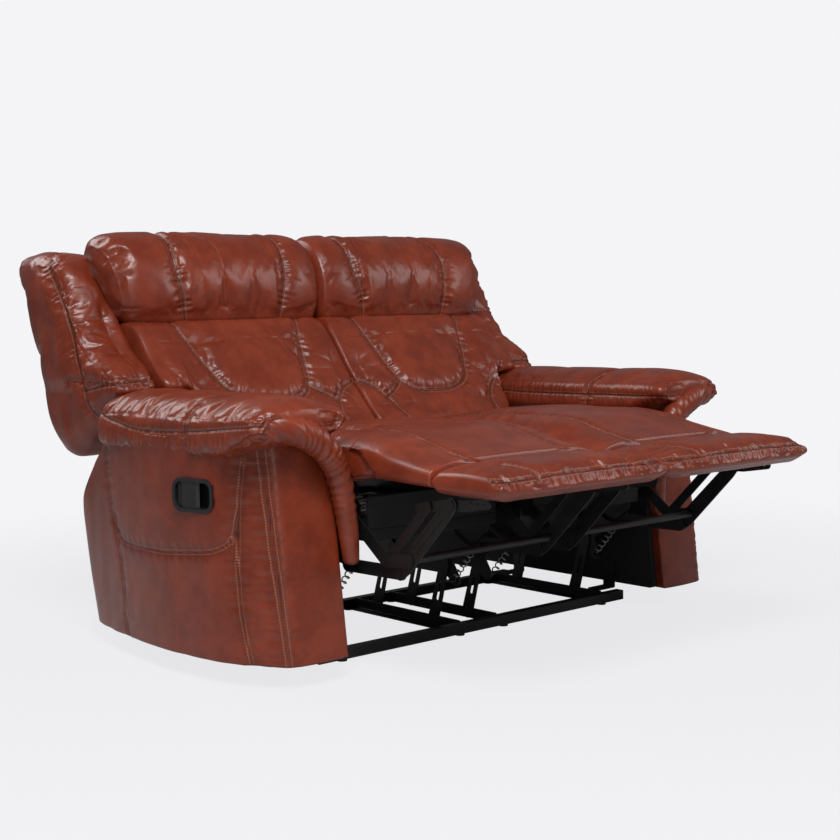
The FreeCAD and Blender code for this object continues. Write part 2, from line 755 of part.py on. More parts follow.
def ottoman_board():
    """Plywood panel inside the ottoman that the brackets are screwed to."""
    body = new_body("ottoman_board")
    half = z.seat_half - 24
    outline = box_outline(z.seat_centre - half, z.ottoman_front + 34, z.seat_centre + half,
                          z.crease_out - 24, 12)
    add_pad(body, outline, "board_thickness", role="XY_Plane", offset=z.ottoman_bottom + 2)
    both_sides("ottoman_board", body)


def ottoman_pad():
    """Ottoman cushion: crowned top, boxed edge and sides drawn in at the ends."""
    bottom, top = z.ottoman_bottom, z.ottoman_top
    rear, front = z.crease_out - z.soft_gap, z.ottoman_front
    profile = [(rear, bottom + 3), (rear, top - 15), (front, top - 26), (front + 18, bottom + 8)]
    bulges = [0, 13, 3, 0]
    last = z.seat_half
    channel = 0.54 * z.seat_half
    stations = [(z.seat_centre - last, 6), (z.seat_centre - channel, 1.5), (z.seat_centre, 0),
                (z.seat_centre + channel, 1.5), (z.seat_centre + last, 6)]
    body = across(profile, bulges, stations)
    half = z.seat_half - 23
    recess = Part.makeBox(2 * half, z.crease_out - 23 - (z.ottoman_front + 33), z.board_thickness + 14,
                          V(z.seat_centre - half, z.ottoman_front + 33, bottom - 12))
    both_sides("ottoman_pad", part_feature("ottoman_pad", body.cut(recess)))


def biarc(p, tangent_p, q, tangent_q):
    """Two arcs that join p to q, each tangent to the other and to the directions given at the ends."""
    chord = q - p
    sum_t = tangent_p + tangent_q
    spread = 2 * (1 - tangent_p.dot(tangent_q))
    reach = (math.sqrt(chord.dot(sum_t) ** 2 + spread * chord.dot(chord)) - chord.dot(sum_t)) / spread
    near, far = p + tangent_p * reach, q - tangent_q * reach
    joint = (near + far) * 0.5
    arcs = []
    for start, control, end in ((p, near, joint), (joint, far, q)):
        middle = (start + end) * 0.5
        half = (end - start).Length / 2
        rise = half * math.tan(math.atan2((control - middle).Length, half) / 2)
        arcs.append(Part.Arc(start, middle + (control - middle).normalize() * rise, end).toShape())
    return arcs


def return_springs():
    """Extension springs from the carriage lug to the rear link, which throw the footrest open."""
    x = z.seat_centre + LAYER_SIDE - 12
    low, high = V(x, *SPRING_LUG), V(x, *SPRING_HOOK)
    along = (high - low).normalize()
    wire, coil = z.spring_wire, z.spring_coil_radius
    clear = z.pin_radius + z.seat_gap
    start, end = low + along * clear, high - along * clear
    base = start + along * z.spring_hook
    coil_length = (end - start).Length - 2 * z.spring_hook
    turns = int(z.spring_turns)
    pitch = coil_length / turns
    side = V(1, 0, 0)
    up = along.cross(side)

    def on_coil(turn):
        a = 2 * math.pi * turn
        return base + side * (coil * math.cos(a)) + up * (coil * math.sin(a)) + along * (pitch * turn)

    def heading(turn):
        a = 2 * math.pi * turn
        return (up * math.cos(a) - side * math.sin(a)) * (2 * math.pi * coil) + along * pitch

    edges = []
    for half in range(2 * turns):
        a, b = half / 2, (half + 1) / 2
        edges += biarc(on_coil(a), heading(a).normalize(), on_coil(b), heading(b).normalize())
    points = [on_coil(step / 24) for step in range(24 * turns + 1)]
    gap = min((points[i] - points[j]).Length - 2 * wire
              for i in range(len(points)) for j in range(i + 12, min(i + 37, len(points))))
    print(f"return spring: least gap from turn to turn {gap:.2f} mm")
    spine = Part.Wire(edges)
    section = Part.Wire([Part.Circle(on_coil(0), heading(0), wire).toShape()])
    tube = spine.makePipeShell([section], True, False)
    hooks = [Part.makeCylinder(wire, z.spring_hook + wire, start + side * coil, along),
             Part.makeCylinder(wire, z.spring_hook + wire, end + side * coil, along * -1)]
    both_sides("return_springs", pair("return_springs", part_feature("return_spring", tube.fuse(hooks))))


# Back

def frame_point(along, behind):
    """A (Y, Z) point of the back frame: along it from its foot, and behind its front face."""
    foot = (z.back_pivot_out + 70, z.back_pivot_up + 9)
    return plus(foot, turned((behind, along), -z.back_lean))


def frame_front(height):
    """How far back the frame's front face is at a height."""
    foot = frame_point(0, 0)
    return foot[0] + (height - foot[1]) * math.tan(math.radians(z.back_lean))


def back_frame():
    """Timber back frame, with the pivot plates bolted to its feet."""
    x0, x1 = z.seat_centre - z.plate_offset + 24, z.seat_centre + z.plate_offset - 24
    depth, bar, length = z.back_frame_depth, z.back_bar, z.back_frame_length

    def bar_solid(name, xa, xb, a0, a1):
        body = new_body(name)
        corners = [frame_point(a0, 0), frame_point(a1, 0), frame_point(a1, depth), frame_point(a0, depth)]
        add_pad(body, rounded(corners, 2), xb - xa, offset=xa)
        return body

    parts = [bar_solid("back_post_inner", x0, x0 + bar, 0, length),
             bar_solid("back_post_outer", x1 - bar, x1, 0, length)]
    for index, share in enumerate((0.05, 0.34, 0.63, 0.92)):
        a = share * length
        parts.append(bar_solid(f"back_rung_{index}", x0 + bar, x1 - bar, a, a + bar))
    reach = 0.63 * length
    outrigger = bar_solid("wing_outrigger", x1, z.lumbar_side + 4 - z.seat_gap, reach, reach + bar)
    parts.append(outrigger)
    both_sides("back_frame", group("back_frame", parts))


def back_plates():
    """Steel plates that hang the back on the carriage and take the drive links."""
    body = new_body("back_plate")
    layer = z.seat_centre + LAYER_SWING
    top = frame_point(150, z.back_frame_depth / 2)
    foot = frame_point(24, z.back_frame_depth / 2)
    half = z.back_frame_depth / 2 - 1
    add_pad(body, capsule(BACK_PIVOT, foot, 20, half), "plate_thickness", offset=layer)
    add_pad(body, capsule(foot, top, half, half - 2), "plate_thickness", offset=layer)
    add_pad(body, capsule(BACK_PIVOT, DRIVE_HIGH, 18, z.link_radius), "plate_thickness", offset=layer)
    drill(body, [BACK_PIVOT], LAYER_SWING)
    add_pin(body, DRIVE_HIGH, LAYER_INNER, LAYER_SWING)
    inner = z.plate_offset - 24
    for point in (foot, top):
        add_pad(body, ring(point, 8), LAYER_SWING - inner, offset=z.seat_centre + inner)
    both_sides("back_plates", pair("back_plates", body))


def drive_links():
    """Links from the back plates to the rear swing links, which slide the seat as the back tilts."""
    body = new_body("drive_link")
    layer = z.seat_centre + LAYER_INNER
    add_pad(body, capsule(DRIVE_LOW, DRIVE_HIGH, z.link_radius, 12), "plate_thickness", offset=layer)
    drill(body, [DRIVE_HIGH], LAYER_INNER)
    loose = ring(DRIVE_LOW, z.pin_radius + z.loose_clearance)
    add_pocket(body, loose, z.plate_thickness + 2, offset=layer + z.plate_thickness + 1)
    both_sides("drive_links", pair("drive_links", body))


def lumbar_cushion():
    """Lumbar cushion: narrow between the arms, then widened over them, with two sewn channels."""
    between, over = z.lumbar_between, z.lumbar_over
    levels = ((432, 193, between, 0), (560, 236, between, 12), (over - 32, 297, between, 12),
              (over, 328, z.lumbar_side, 12), (z.head_bottom - 4, 440, z.lumbar_side, 6))
    wires = []
    inner = z.seat_centre - z.seat_half
    for height, front, outer, bulge in levels:
        rear = frame_front(height) - z.seat_gap / math.cos(math.radians(z.back_lean))
        points = [V(inner, front, height), V(outer, front, height),
                  V(outer, rear, height), V(inner, rear, height)]
        wires.append(bowed(points, [bulge + 6, 0, 0, 0]))
    body = Part.makeLoft(wires, True, True)
    both_sides("lumbar_cushion", part_feature("lumbar_cushion", body))


def headrest():
    """Headrest roll over the top of the frame, drawn in at both ends, with two sewn seams."""
    low, top = z.head_bottom, z.head_top
    profile = [(448, low), (420, low + 84), (446, low + 176), (512, top - 2), (598, top - 4),
               (652, top - 56), (640, top - 120), (586, top - 120), (524, low)]
    bulges = [8, 6, 5, 6, 6, 2, 0, 0, 0]
    inner, outer = z.seat_centre - z.seat_half, z.lumbar_side
    width = outer - inner
    stations = [(inner, 16), (inner + 0.22 * width, 3), (inner + 0.5 * width, 0), (inner + 0.74 * width, 3),
                (outer - 2, 14)]
    wires = []
    for index, (x, amount) in enumerate(stations):
        slope = z.head_slope * index / (len(stations) - 1)
        points = [V(x + slope * (p[1] - low), p[0], p[1]) for p in drawn_in(profile, amount)]
        wires.append(bowed(points, bulges))
    body = Part.makeLoft(wires, True, False)
    clip = Part.makeBox(2000, 2000, 600, V(0, 0, low))
    frame_clear = Part.Face(Part.makePolygon([V(0, *frame_point(-10, -z.seat_gap)),
                                              V(0, *frame_point(600, -z.seat_gap)),
                                              V(0, *frame_point(600, 500)), V(0, *frame_point(-10, 500)),
                                              V(0, *frame_point(-10, -z.seat_gap))])).extrude(V(1200, 0, 0))
    above = Part.makeBox(1200, 2000, 600, V(0, 0, frame_point(z.back_frame_length, 0)[1] + 6))
    body = body.common(clip).cut(frame_clear.cut(above))
    both_sides("headrest", part_feature("headrest", body))


def wing_bolster():
    """Side bolster on the back's outer edge, over the arm, swollen at the middle and drawn in outside."""
    profile = [(303, 648), (332, 606), (424, 530), (560, 446), (638, 486), (758, 760), (816, 928),
               (786, 968), (566, 964), (492, 800), (404, 700)]
    bulges = [0, 4, 4, 8, 8, 4, 6, 6, 4, 4, 4]
    inner, outer = z.lumbar_side + 4, z.wing_outer
    stations = [(inner, 8), (inner + 40, 0), (outer - 50, 0), (outer, 30)]
    body = across(profile, bulges, stations)
    low, high = z.head_bottom, z.head_bottom + 300
    start = V(inner - 60, 0, low)
    lean = inner + 1 + z.head_slope * 300
    wedge = Part.makePolygon([start, V(inner + 1, 0, low), V(lean, 0, high), V(inner - 60, 0, high), start])
    body = body.cut(Part.Face(wedge).extrude(V(0, 1200, 0)))
    both_sides("wing_bolster", part_feature("wing_bolster", body))


def back_cover():
    """The upholstered outer back panel behind the frame."""
    depth = z.back_frame_depth + 2
    length = z.back_frame_length
    top_front = frame_point(length, depth)
    profile = [frame_point(-16, depth), top_front, (664, 902), (676, 952), (768, 938), (592, 440),
               (450, 378)]
    bulges = [0, 0, 0, 5, 10, 4, 0]
    inner, outer = z.seat_centre - z.seat_half, z.lumbar_side
    width = outer - inner
    stations = [(inner, 10), (inner + 0.2 * width, 0), (inner + 0.8 * width, 0), (outer, 8)]
    body = across(profile, bulges, stations)
    ends = ((-60, -300), (length + 8, -300), (length + 8, depth - 1), (-60, depth - 1), (-60, -300))
    frame_clear = Part.Face(Part.makePolygon([V(0, *frame_point(*end)) for end in ends]))
    body = body.cut(frame_clear.extrude(V(1200, 0, 0)))
    low_clear = Part.makeBox(200, 700, 300, V(z.arm_gap_half - 12, 200, 300))
    body = body.cut(low_clear)
    both_sides("back_cover", part_feature("back_cover", body))


# Arms

def arm_shell():
    """Outer form of an arm: its side, plan and front outlines, each swept and then intersected."""
    lift, front, rear = z.arm_lift, z.arm_front, z.arm_rear
    side = new_body("arm_side")
    outline = rounded([(front, lift), (front + z.arm_front_lean, z.arm_top_front),
                       (rear - 52, z.arm_top_rear), (rear + z.arm_rear_bulge, 345), (rear, lift)],
                      [8, 40, 30, 60, 10])
    add_pad(side, outline, 400, offset=z.arm_gap_half)
    plan = new_body("arm_plan")
    inner, outer = z.arm_gap_half, z.arm_outer
    a, b = V(inner, front - 10, 0), V(outer - 100, front - 10, 0)
    b2, c = V(outer - 84, front, 0), V(outer - 41, front + 101, 0)
    d = V(outer - 50, rear + z.arm_rear_bulge + 10, 0)
    e = V(inner, rear + z.arm_rear_bulge + 10, 0)
    bow = V(outer, front + 340, 0)
    corner = V(outer - 58, front + 42, 0)
    edges = [Part.LineSegment(a, b), Part.LineSegment(b, b2), Part.Arc(b2, corner, c), Part.Arc(c, bow, d),
             Part.LineSegment(d, e), Part.LineSegment(e, a)]
    add_pad(plan, edges, 700, role="XY_Plane", offset=0)
    face = new_body("arm_face")
    top = z.arm_top_front
    p = [V(inner, 0, 0), V(outer + 20, 0, 0), V(outer - 2, top - 110, 0), V(outer - 50, top - 40, 0),
         V(outer - 186, top - 50, 0), V(inner, top - 150, 0)]
    edges = [Part.LineSegment(p[0], p[1]), Part.LineSegment(p[1], p[2]),
             Part.Arc(p[2], V(outer - 14, top - 72, 0), p[3]),
             Part.Arc(p[3], V(outer - 106, top + 1, 0), p[4]),
             Part.Arc(p[4], V(inner + 26, top - 92, 0), p[5]), Part.LineSegment(p[5], p[0])]
    add_pad(face, edges, 1400, role="XZ_Plane", offset=-700)
    common = doc.addObject("Part::MultiCommon", "arm_form")
    common.Shapes = [side, plan, face]
    doc.recompute()
    return common


def handle_placement():
    """Where the release handle's cup sits on the arm's bowed outer side."""
    chord = z.arm_outer - 8
    turn = FreeCAD.Rotation(V(0, 0, 1), -z.handle_turn)
    return FreeCAD.Placement(V(chord, z.handle_out, z.handle_up), turn)


def cup_block(x0, x1, half_y, half_z, radius):
    """A block along X with a rounded oblong section."""
    wire = Part.Wire([g.toShape() for g in box_outline(-half_y, -half_z, half_y, half_z, radius)])
    wire.rotate(V(0, 0, 0), V(1, 1, 1), 120)
    wire.translate(V(x0, 0, 0))
    return Part.Face(wire).extrude(V(x1 - x0, 0, 0))


def handle_cup_shape():
    """Moulded cup: a flanged rounded dish, deeper towards the front where the fingers go in."""
    length, height, depth, wall = z.handle_length, z.handle_height, z.handle_depth, z.handle_wall
    flange = cup_block(0, 3, length / 2, height / 2, 26)
    dish = cup_block(-depth, 0, length / 2 - 6, height / 2 - 6, 20)
    hollow = cup_block(wall - depth, 4, length / 2 - 6 - wall, height / 2 - 6 - wall, 18)
    clear = cup_block(-depth - 0.5, 1, length / 2 - 5.5, height / 2 - 5.5, 20.5)
    return flange.fuse(dish).removeSplitter().cut(hollow), clear


def lever_shape():
    """The pull paddle, hinged at its rear edge and bowed, with a lip for the fingers."""
    height, depth, wall = z.handle_height, z.handle_depth, z.handle_wall
    half = height / 2 - 6 - wall - z.lever_clearance
    rear = z.handle_length / 2 - 6 - wall - z.lever_clearance
    inner = -depth + wall + 1.5
    corners = [(inner, rear), (-8, rear), (-2, rear - 12), (-1, -8), (-7, -14), (-8, rear - 16),
               (inner, rear - 10)]
    p = [V(x, y, -half) for x, y in corners]
    bow = V(2, rear / 2 - 8, -half)
    edges = [Part.LineSegment(p[0], p[1]), Part.LineSegment(p[1], p[2]), Part.Arc(p[2], bow, p[3]),
             Part.LineSegment(p[3], p[4]), Part.LineSegment(p[4], p[5]), Part.LineSegment(p[5], p[6]),
             Part.LineSegment(p[6], p[0])]
    paddle = Part.Face(Part.Wire([e.toShape() for e in edges])).extrude(V(0, 0, 2 * half))
    barrel = Part.makeCylinder(z.lever_barrel, 2 * half, V(-8, rear - 6, -half))
    return paddle.fuse(barrel).removeSplitter().common(cup_block(-depth, 10, rear, half, 20))


def arms():
    """Arm body, arm frame, top pad, handle cup and release lever."""
    shell = arm_shell()
    lift = z.arm_lift
    panel = z.arm_panel
    frame_outline = [(z.arm_front + 30, lift), (z.arm_front + 62, z.arm_top_front - 170),
                     (z.arm_rear - 60, z.arm_top_rear - 130), (z.arm_rear + 20, 330),
                     (z.arm_rear - 12, lift)]
    frame = new_body("arm_frame")
    add_pad(frame, rounded(frame_outline, 12), "arm_panel", offset=z.arm_gap_half)
    recess = new_body("arm_recess")
    gap = z.panel_clearance
    add_pad(recess, rounded(grown(frame_outline, gap), 12 + gap), panel + gap, offset=z.arm_gap_half)
    doc.recompute()
    cup, cup_clear = handle_cup_shape()
    where = handle_placement()
    cup.Placement = where
    cup_clear.Placement = where
    flat_seat = Part.makeBox(60, z.handle_length - 2, z.handle_height - 2,
                             V(0, 1 - z.handle_length / 2, 1 - z.handle_height / 2))
    flat_seat.Placement = where
    body_shape = shell.Shape.cut(recess.Shape).cut(cup_clear).cut(flat_seat)
    body = part_feature("arm_body", body_shape)
    both_sides("arm_body", body)
    both_sides("arm_frame", frame)
    both_sides("handle_cup", part_feature("handle_cup", cup))
    lever = lever_shape()
    lever.Placement = where
    both_sides("release_lever", part_feature("release_lever", lever))
    both_sides("arm_pad", part_feature("arm_pad", arm_pad_shape(shell.Shape, frame.Shape)))


def arm_pad_shape(shell, frame):
    """The stuffed arm pad: along the arm, rolled over its front and down the inner side to a point."""
    inner, outer, top = z.pad_inner, z.pad_outer, z.pad_top
    profile = [(inner, 476), (outer, 498), (outer - 16, top - 32), (inner + 24, top - 26)]
    middle = ((inner + outer) / 2, 545)
    wires = []
    for y, share, fall in ((z.pad_rear, 0.8, -14), (z.pad_rear - 24, 0.94, -4), (z.pad_rear - 70, 1, 0),
                           (40, 1, 0), (-180, 1, 0), (-290, 0.98, -4), (-340, 0.93, -12), (-372, 0.82, -22)):
        a, b, c, d = (V(middle[0] + share * (p[0] - middle[0]), y,
                        middle[1] + fall + share * (p[1] - middle[1])) for p in profile)
        wires.append(Part.Wire([Part.Arc(a, (a + b) * 0.5 + V(0, 0, -4), b).toShape(),
                                Part.Arc(b, (b + c) * 0.5 + V(7, 0, 4), c).toShape(),
                                Part.Arc(c, (c + d) * 0.5 + V(0, 0, 29), d).toShape(),
                                Part.Arc(d, (d + a) * 0.5 + V(-5, 0, 6), a).toShape()]))
    pad = Part.makeLoft(wires, True, True)
    sections = []
    for height, x1, y0, y1 in ((520, inner + 96, -374, -286), (430, inner + 66, -366, -300),
                               (330, inner + 42, -362, -318), (242, inner + 14, -358, -338)):
        p = [V(inner + 1, y0 + 6, height), V(x1, y0 + 10, height),
             V(x1, y1, height), V(inner + 1, y1, height)]
        sections.append(bowed(p, [6, 0, 0, 0]))
    lobe = Part.makeLoft(sections, True, True)
    solid = pad.fuse(lobe).cut(shell).cut(frame)
    return max(solid.Solids, key=lambda piece: piece.Volume)


side_rails()
cross_rails()
glides()
arm_brackets()
swing_links("front_swing_links", SWING_FRONT_BASE, SWING_FRONT_TOP, None)
swing_links("rear_swing_links", SWING_REAR_BASE, SWING_REAR_TOP, DRIVE_LOW)
side_plates()
seat_box()
deck_springs()
seat_cushion()
chaise_pad()
rear_link()
front_link()
shin_link()
twin_link()
ottoman_bracket()
ottoman_board()
ottoman_pad()
return_springs()
back_frame()
back_plates()
drive_links()
lumbar_cushion()
headrest()
wing_bolster()
back_cover()
arms()
doc.recompute()

for thing in doc.Objects:
    if "Invalid" in thing.State or "Error" in thing.State:
        raise RuntimeError(f"{thing.Label} failed: {thing.State}")
for name, piece in made.items():
    shape = piece.Shape
    if shape.isNull() or not shape.isValid() or not shape.Solids:
        raise RuntimeError(f"{name} has no valid solid")

os.makedirs("parts", exist_ok=True)
for name, piece in made.items():
    piece.Shape.exportStep(f"parts/{name}.step")
print(f"{len(made)} pieces written")
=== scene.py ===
import math
import bpy
import numpy as np
from mathutils import Matrix, Vector
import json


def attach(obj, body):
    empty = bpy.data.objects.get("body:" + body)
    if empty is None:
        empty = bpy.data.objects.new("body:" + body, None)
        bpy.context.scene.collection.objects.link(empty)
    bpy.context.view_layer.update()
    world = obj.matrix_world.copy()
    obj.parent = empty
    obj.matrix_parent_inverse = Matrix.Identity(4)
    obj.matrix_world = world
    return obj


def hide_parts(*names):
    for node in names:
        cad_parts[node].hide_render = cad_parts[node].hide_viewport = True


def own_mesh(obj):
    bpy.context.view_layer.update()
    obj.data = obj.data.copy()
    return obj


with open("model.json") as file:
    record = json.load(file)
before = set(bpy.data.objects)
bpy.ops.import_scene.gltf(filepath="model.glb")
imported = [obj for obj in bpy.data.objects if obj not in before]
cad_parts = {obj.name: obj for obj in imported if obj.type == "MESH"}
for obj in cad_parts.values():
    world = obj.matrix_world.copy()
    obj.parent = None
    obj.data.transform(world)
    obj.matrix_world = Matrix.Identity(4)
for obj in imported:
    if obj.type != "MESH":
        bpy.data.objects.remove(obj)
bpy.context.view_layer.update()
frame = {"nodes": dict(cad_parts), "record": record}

# A two-seat reclining loveseat in glossy cognac leather, footrests out. Metres, front towards -Y.
# Soft pieces are drawn for the right-hand seat and mirrored for the left one.

SEAT_CENTRE = 0.260
SEAT_HALF = 0.256
NOSE_Y, NOSE_Z = -0.330, 0.440
CREASE_Y = -0.602
SIDES = ("right", "left")
SEAM_REACH = 0.05       # the finish reads the distance to a seam up to here
CHANNEL_OFFSET = 0.147  # the two sewn channels, from the middle of a seat
PAD_POINTS = 120        # points round each section of a seat or footrest pad
CLOTH_FRAMES = 20
CLOTH_EXTRA = 0.045     # how much larger the leather is cut than its filling
BACKDROP = (0.905, 0.905, 0.922, 1)


# Shader maths

class Value:
    """A shader socket. Python's operators on it add Math nodes."""

    def __init__(self, finish, socket):
        self.finish = finish
        self.socket = socket

    def _math(self, operation, first, second=None):
        node = self.finish.tree.nodes.new("ShaderNodeMath")
        node.operation = operation
        self.finish.put(node.inputs[0], first)
        if second is not None:
            self.finish.put(node.inputs[1], second)
        return Value(self.finish, node.outputs[0])

    def __add__(self, other):
        return self._math("ADD", self, other)

    def __radd__(self, other):
        return self._math("ADD", other, self)

    def __sub__(self, other):
        return self._math("SUBTRACT", self, other)

    def __rsub__(self, other):
        return self._math("SUBTRACT", other, self)

    def __mul__(self, other):
        return self._math("MULTIPLY", self, other)

    def __rmul__(self, other):
        return self._math("MULTIPLY", other, self)

    def __truediv__(self, other):
        return self._math("DIVIDE", self, other)

    def __abs__(self):
        return self._math("ABSOLUTE", self)

    def below(self, limit):
        return self._math("LESS_THAN", self, limit)

    def fraction(self):
        return self._math("FRACT", self)


class Finish:
    """A procedural material on Object coordinates."""

    def __init__(self, name, **constants):
        self.material = bpy.data.materials.new(name)
        self.material.use_nodes = True
        self.tree = self.material.node_tree
        self.surface = self.tree.nodes["Principled BSDF"]
        for socket, value in constants.items():
            self.surface.inputs[socket.replace("_", " ")].default_value = value
        self.place = self.node("TexCoord", output="Object")

    def put(self, socket, value):
        if isinstance(value, Value):
            self.tree.links.new(value.socket, socket)
        else:
            socket.default_value = value

    def node(self, kind, settings=None, inputs=None, output=0):
        node = self.tree.nodes.new("ShaderNode" + kind)
        for name, value in (settings or {}).items():
            setattr(node, name, value)
        for name, value in (inputs or {}).items():
            self.put(node.inputs[name], value)
        return Value(self, node.outputs[output])

    def noise(self, scale, detail=3.0, rough=0.5, place=None, distortion=0.0):
        inputs = {"Vector": place or self.place, "Scale": scale, "Detail": detail, "Roughness": rough,
                  "Distortion": distortion}
        return self.node("TexNoise", {}, inputs, "Fac")

    def cells(self, scale, feature="F1", place=None):
        inputs = {"Vector": place or self.place, "Scale": scale}
        return self.node("TexVoronoi", {"feature": feature}, inputs, "Distance")

    def stretched(self, x, y, z):
        return self.node("Mapping", {}, {"Vector": self.place, "Scale": (x, y, z)})

    def fade(self, value, low, high, at_low=0.0, at_high=1.0):
        inputs = {"Value": value, 1: low, 2: high, 3: at_low, 4: at_high}
        return self.node("MapRange", {"interpolation_type": "SMOOTHSTEP"}, inputs)

    def blend(self, amount, first, second):
        inputs = {0: amount, 6: first, 7: second}
        return self.node("Mix", {"data_type": "RGBA"}, inputs, 2)

    def finish(self, color=None, roughness=None, height=None, bump=1.0, depth=0.001):
        if color is not None:
            self.put(self.surface.inputs["Base Color"], color)
        if roughness is not None:
            self.put(self.surface.inputs["Roughness"], roughness)
        if height is not None:
            normal = self.node("Bump", {}, {"Strength": bump, "Distance": depth, "Height": height}, "Normal")
            self.put(self.surface.inputs["Normal"], normal)
        return self.material


def leather():
    """Glossy cognac hide: mottled colour, fine grain, soft creases, and seams read from attributes, with
    painted shade in each seam's groove and beside it.
    """
    f = Finish("cognac_leather", Specular_IOR_Level=0.42, Coat_Weight=0.16, Coat_Roughness=0.18)
    away = SEAM_REACH - f.node("Attribute", {"attribute_name": "seam"}, output="Fac")
    along = f.node("Attribute", {"attribute_name": "along"}, output="Fac")
    groove = f.fade(away, 0.0, 0.0024, 1.0, 0.0)
    near = f.fade(away, 0.003, 0.020, 1.0, 0.0)
    row = f.fade(abs(away - 0.0050), 0.0004, 0.0012, 1.0, 0.0)
    stitch = row * (along / 0.0064).fraction().below(0.72)
    mottle = f.noise(15.0, 5.0, 0.62)
    cloud = f.noise(4.2, 3.0, 0.5)
    fleck = f.noise(90.0, 4.0, 0.65)
    grain = f.cells(640.0)
    pores = f.noise(1500.0, 2.0)
    crease = f.noise(58.0, 5.0, 0.6, distortion=0.8)
    fold = f.noise(17.0, 3.0, 0.5, distortion=0.6)
    mid = f.blend(f.fade(mottle, 0.34, 0.68), (0.170, 0.0245, 0.0088, 1), (0.250, 0.0390, 0.0140, 1))
    tone = f.blend(f.fade(cloud, 0.36, 0.64, 0.0, 0.45), mid, (0.150, 0.0210, 0.0080, 1))
    tone = f.blend(f.fade(fleck, 0.55, 0.75, 0.0, 0.25), tone, (0.290, 0.0500, 0.0190, 1))
    # painted shade: the leather up to about 2 cm from a seam is darkened
    shaded = f.blend(near * 0.45, tone, (0.090, 0.0150, 0.0070, 1))
    # painted shade: the leather in a seam's groove is darkened almost to black
    groove_shaded = f.blend(groove * 0.8, shaded, (0.032, 0.0068, 0.0040, 1))
    color = f.blend(stitch * 0.6, groove_shaded, (0.44, 0.150, 0.080, 1))
    rough = 0.22 + 0.12 * mottle + 0.08 * fold + 0.08 * near
    height = 0.26 * grain + 0.10 * pores + 0.8 * crease + 0.9 * fold - 1.6 * groove + 0.55 * stitch
    return f.finish(color, rough, height, 0.5, 0.0010)


def painted_steel():
    f = Finish("black_painted_steel", Metallic=0.0)
    orange_peel = f.noise(420.0, 2.0)
    wear = f.noise(34.0, 5.0, 0.7)
    rub = f.fade(wear, 0.62, 0.74)
    color = f.blend(rub * 0.35, (0.0075, 0.0075, 0.008, 1), (0.05, 0.05, 0.052, 1))
    return f.finish(color, 0.34 + 0.22 * wear, orange_peel + 0.4 * wear, 0.25, 0.0004)


def zinc_wire():
    f = Finish("zinc_wire", Metallic=1.0)
    streak = f.noise(160.0, 4.0, 0.6, f.stretched(1, 1, 0.2))
    color = f.blend(streak, (0.30, 0.30, 0.29, 1), (0.55, 0.54, 0.52, 1))
    return f.finish(color, 0.26 + 0.2 * streak, streak, 0.2, 0.0003)


def moulded_plastic():
    f = Finish("black_plastic")
    spark = f.cells(1500.0)
    haze = f.noise(30.0, 3.0)
    color = f.blend(haze, (0.007, 0.007, 0.0075, 1), (0.016, 0.016, 0.017, 1))
    return f.finish(color, 0.36 + 0.16 * haze, spark, 0.25, 0.0003)


def lining():
    """Black non-woven lining cloth, felted and slightly puckered."""
    f = Finish("black_lining")
    fibre = f.noise(900.0, 3.0, 0.7, f.stretched(1, 0.35, 1))
    weave = f.noise(240.0, 2.0)
    pucker = f.noise(16.0, 3.0, 0.5)
    color = f.blend(fibre, (0.0045, 0.0045, 0.005, 1), (0.018, 0.018, 0.019, 1))
    return f.finish(color, 0.82 + 0.12 * weave, fibre + 0.6 * weave + 1.5 * pucker, 0.5, 0.0012)


def timber():
    f = Finish("planed_timber")
    rings = f.noise(26.0, 5.0, 0.6, f.stretched(0.12, 1, 1), 0.5)
    fibre = f.noise(420.0, 3.0, 0.6, f.stretched(0.05, 1, 1))
    color = f.blend(rings, (0.32, 0.17, 0.075, 1), (0.56, 0.36, 0.19, 1))
    return f.finish(color, 0.6 + 0.2 * fibre, fibre + rings, 0.4, 0.0006)


FINISHES = {"leather": leather(), "black_steel": painted_steel(), "spring_steel": zinc_wire(),
            "black_plastic": moulded_plastic(), "black_board": lining(), "timber": timber()}


# Shapes

def smooth_loop(points, count):
    """A closed Catmull-Rom curve through the points, sampled evenly by length."""
    p = np.asarray(points, float)
    t = np.linspace(0, 1, 24, endpoint=False)[:, None]
    parts = []
    for i in range(len(p)):
        a, b, c, d = p[i - 1], p[i], p[(i + 1) % len(p)], p[(i + 2) % len(p)]
        parts.append(0.5 * (2 * b + (c - a) * t + (2 * a - 5 * b + 4 * c - d) * t ** 2
                            + (3 * b - a - 3 * c + d) * t ** 3))
    fine = np.vstack(parts + [parts[0][:1]])
    reach = np.concatenate([[0], np.cumsum(np.linalg.norm(np.diff(fine, axis=0), axis=1))])
    at = np.linspace(0, reach[-1], count, endpoint=False)
    return np.stack([np.interp(at, reach, fine[:, k]) for k in range(p.shape[1])], axis=1)


def smooth_between(keys, places, at):
    """Smooth values between key arrays set at given places, with no overshoot at a steady stretch."""
    keys = np.asarray(keys, float)
    places = np.asarray(places, float)
    step = np.diff(places)
    slope = np.diff(keys, axis=0) / step.reshape((-1,) + (1,) * (keys.ndim - 1))
    tangent = np.zeros_like(keys)
    same = slope[:-1] * slope[1:] > 0
    both = np.where(same, slope[:-1] + slope[1:], 1)
    tangent[1:-1] = np.where(same, 2 * slope[:-1] * slope[1:] / both, 0)
    tangent[0], tangent[-1] = slope[0], slope[-1]
    index = np.clip(np.searchsorted(places, at, "right") - 1, 0, len(step) - 1)
    shape = (-1,) + (1,) * (keys.ndim - 1)
    h = step[index].reshape(shape)
    t = ((at - places[index]) / step[index]).reshape(shape)
    return (keys[index] * (1 + 2 * t) * (1 - t) ** 2 + tangent[index] * h * t * (1 - t) ** 2
            + keys[index + 1] * t * t * (3 - 2 * t) + tangent[index + 1] * h * t * t * (t - 1))


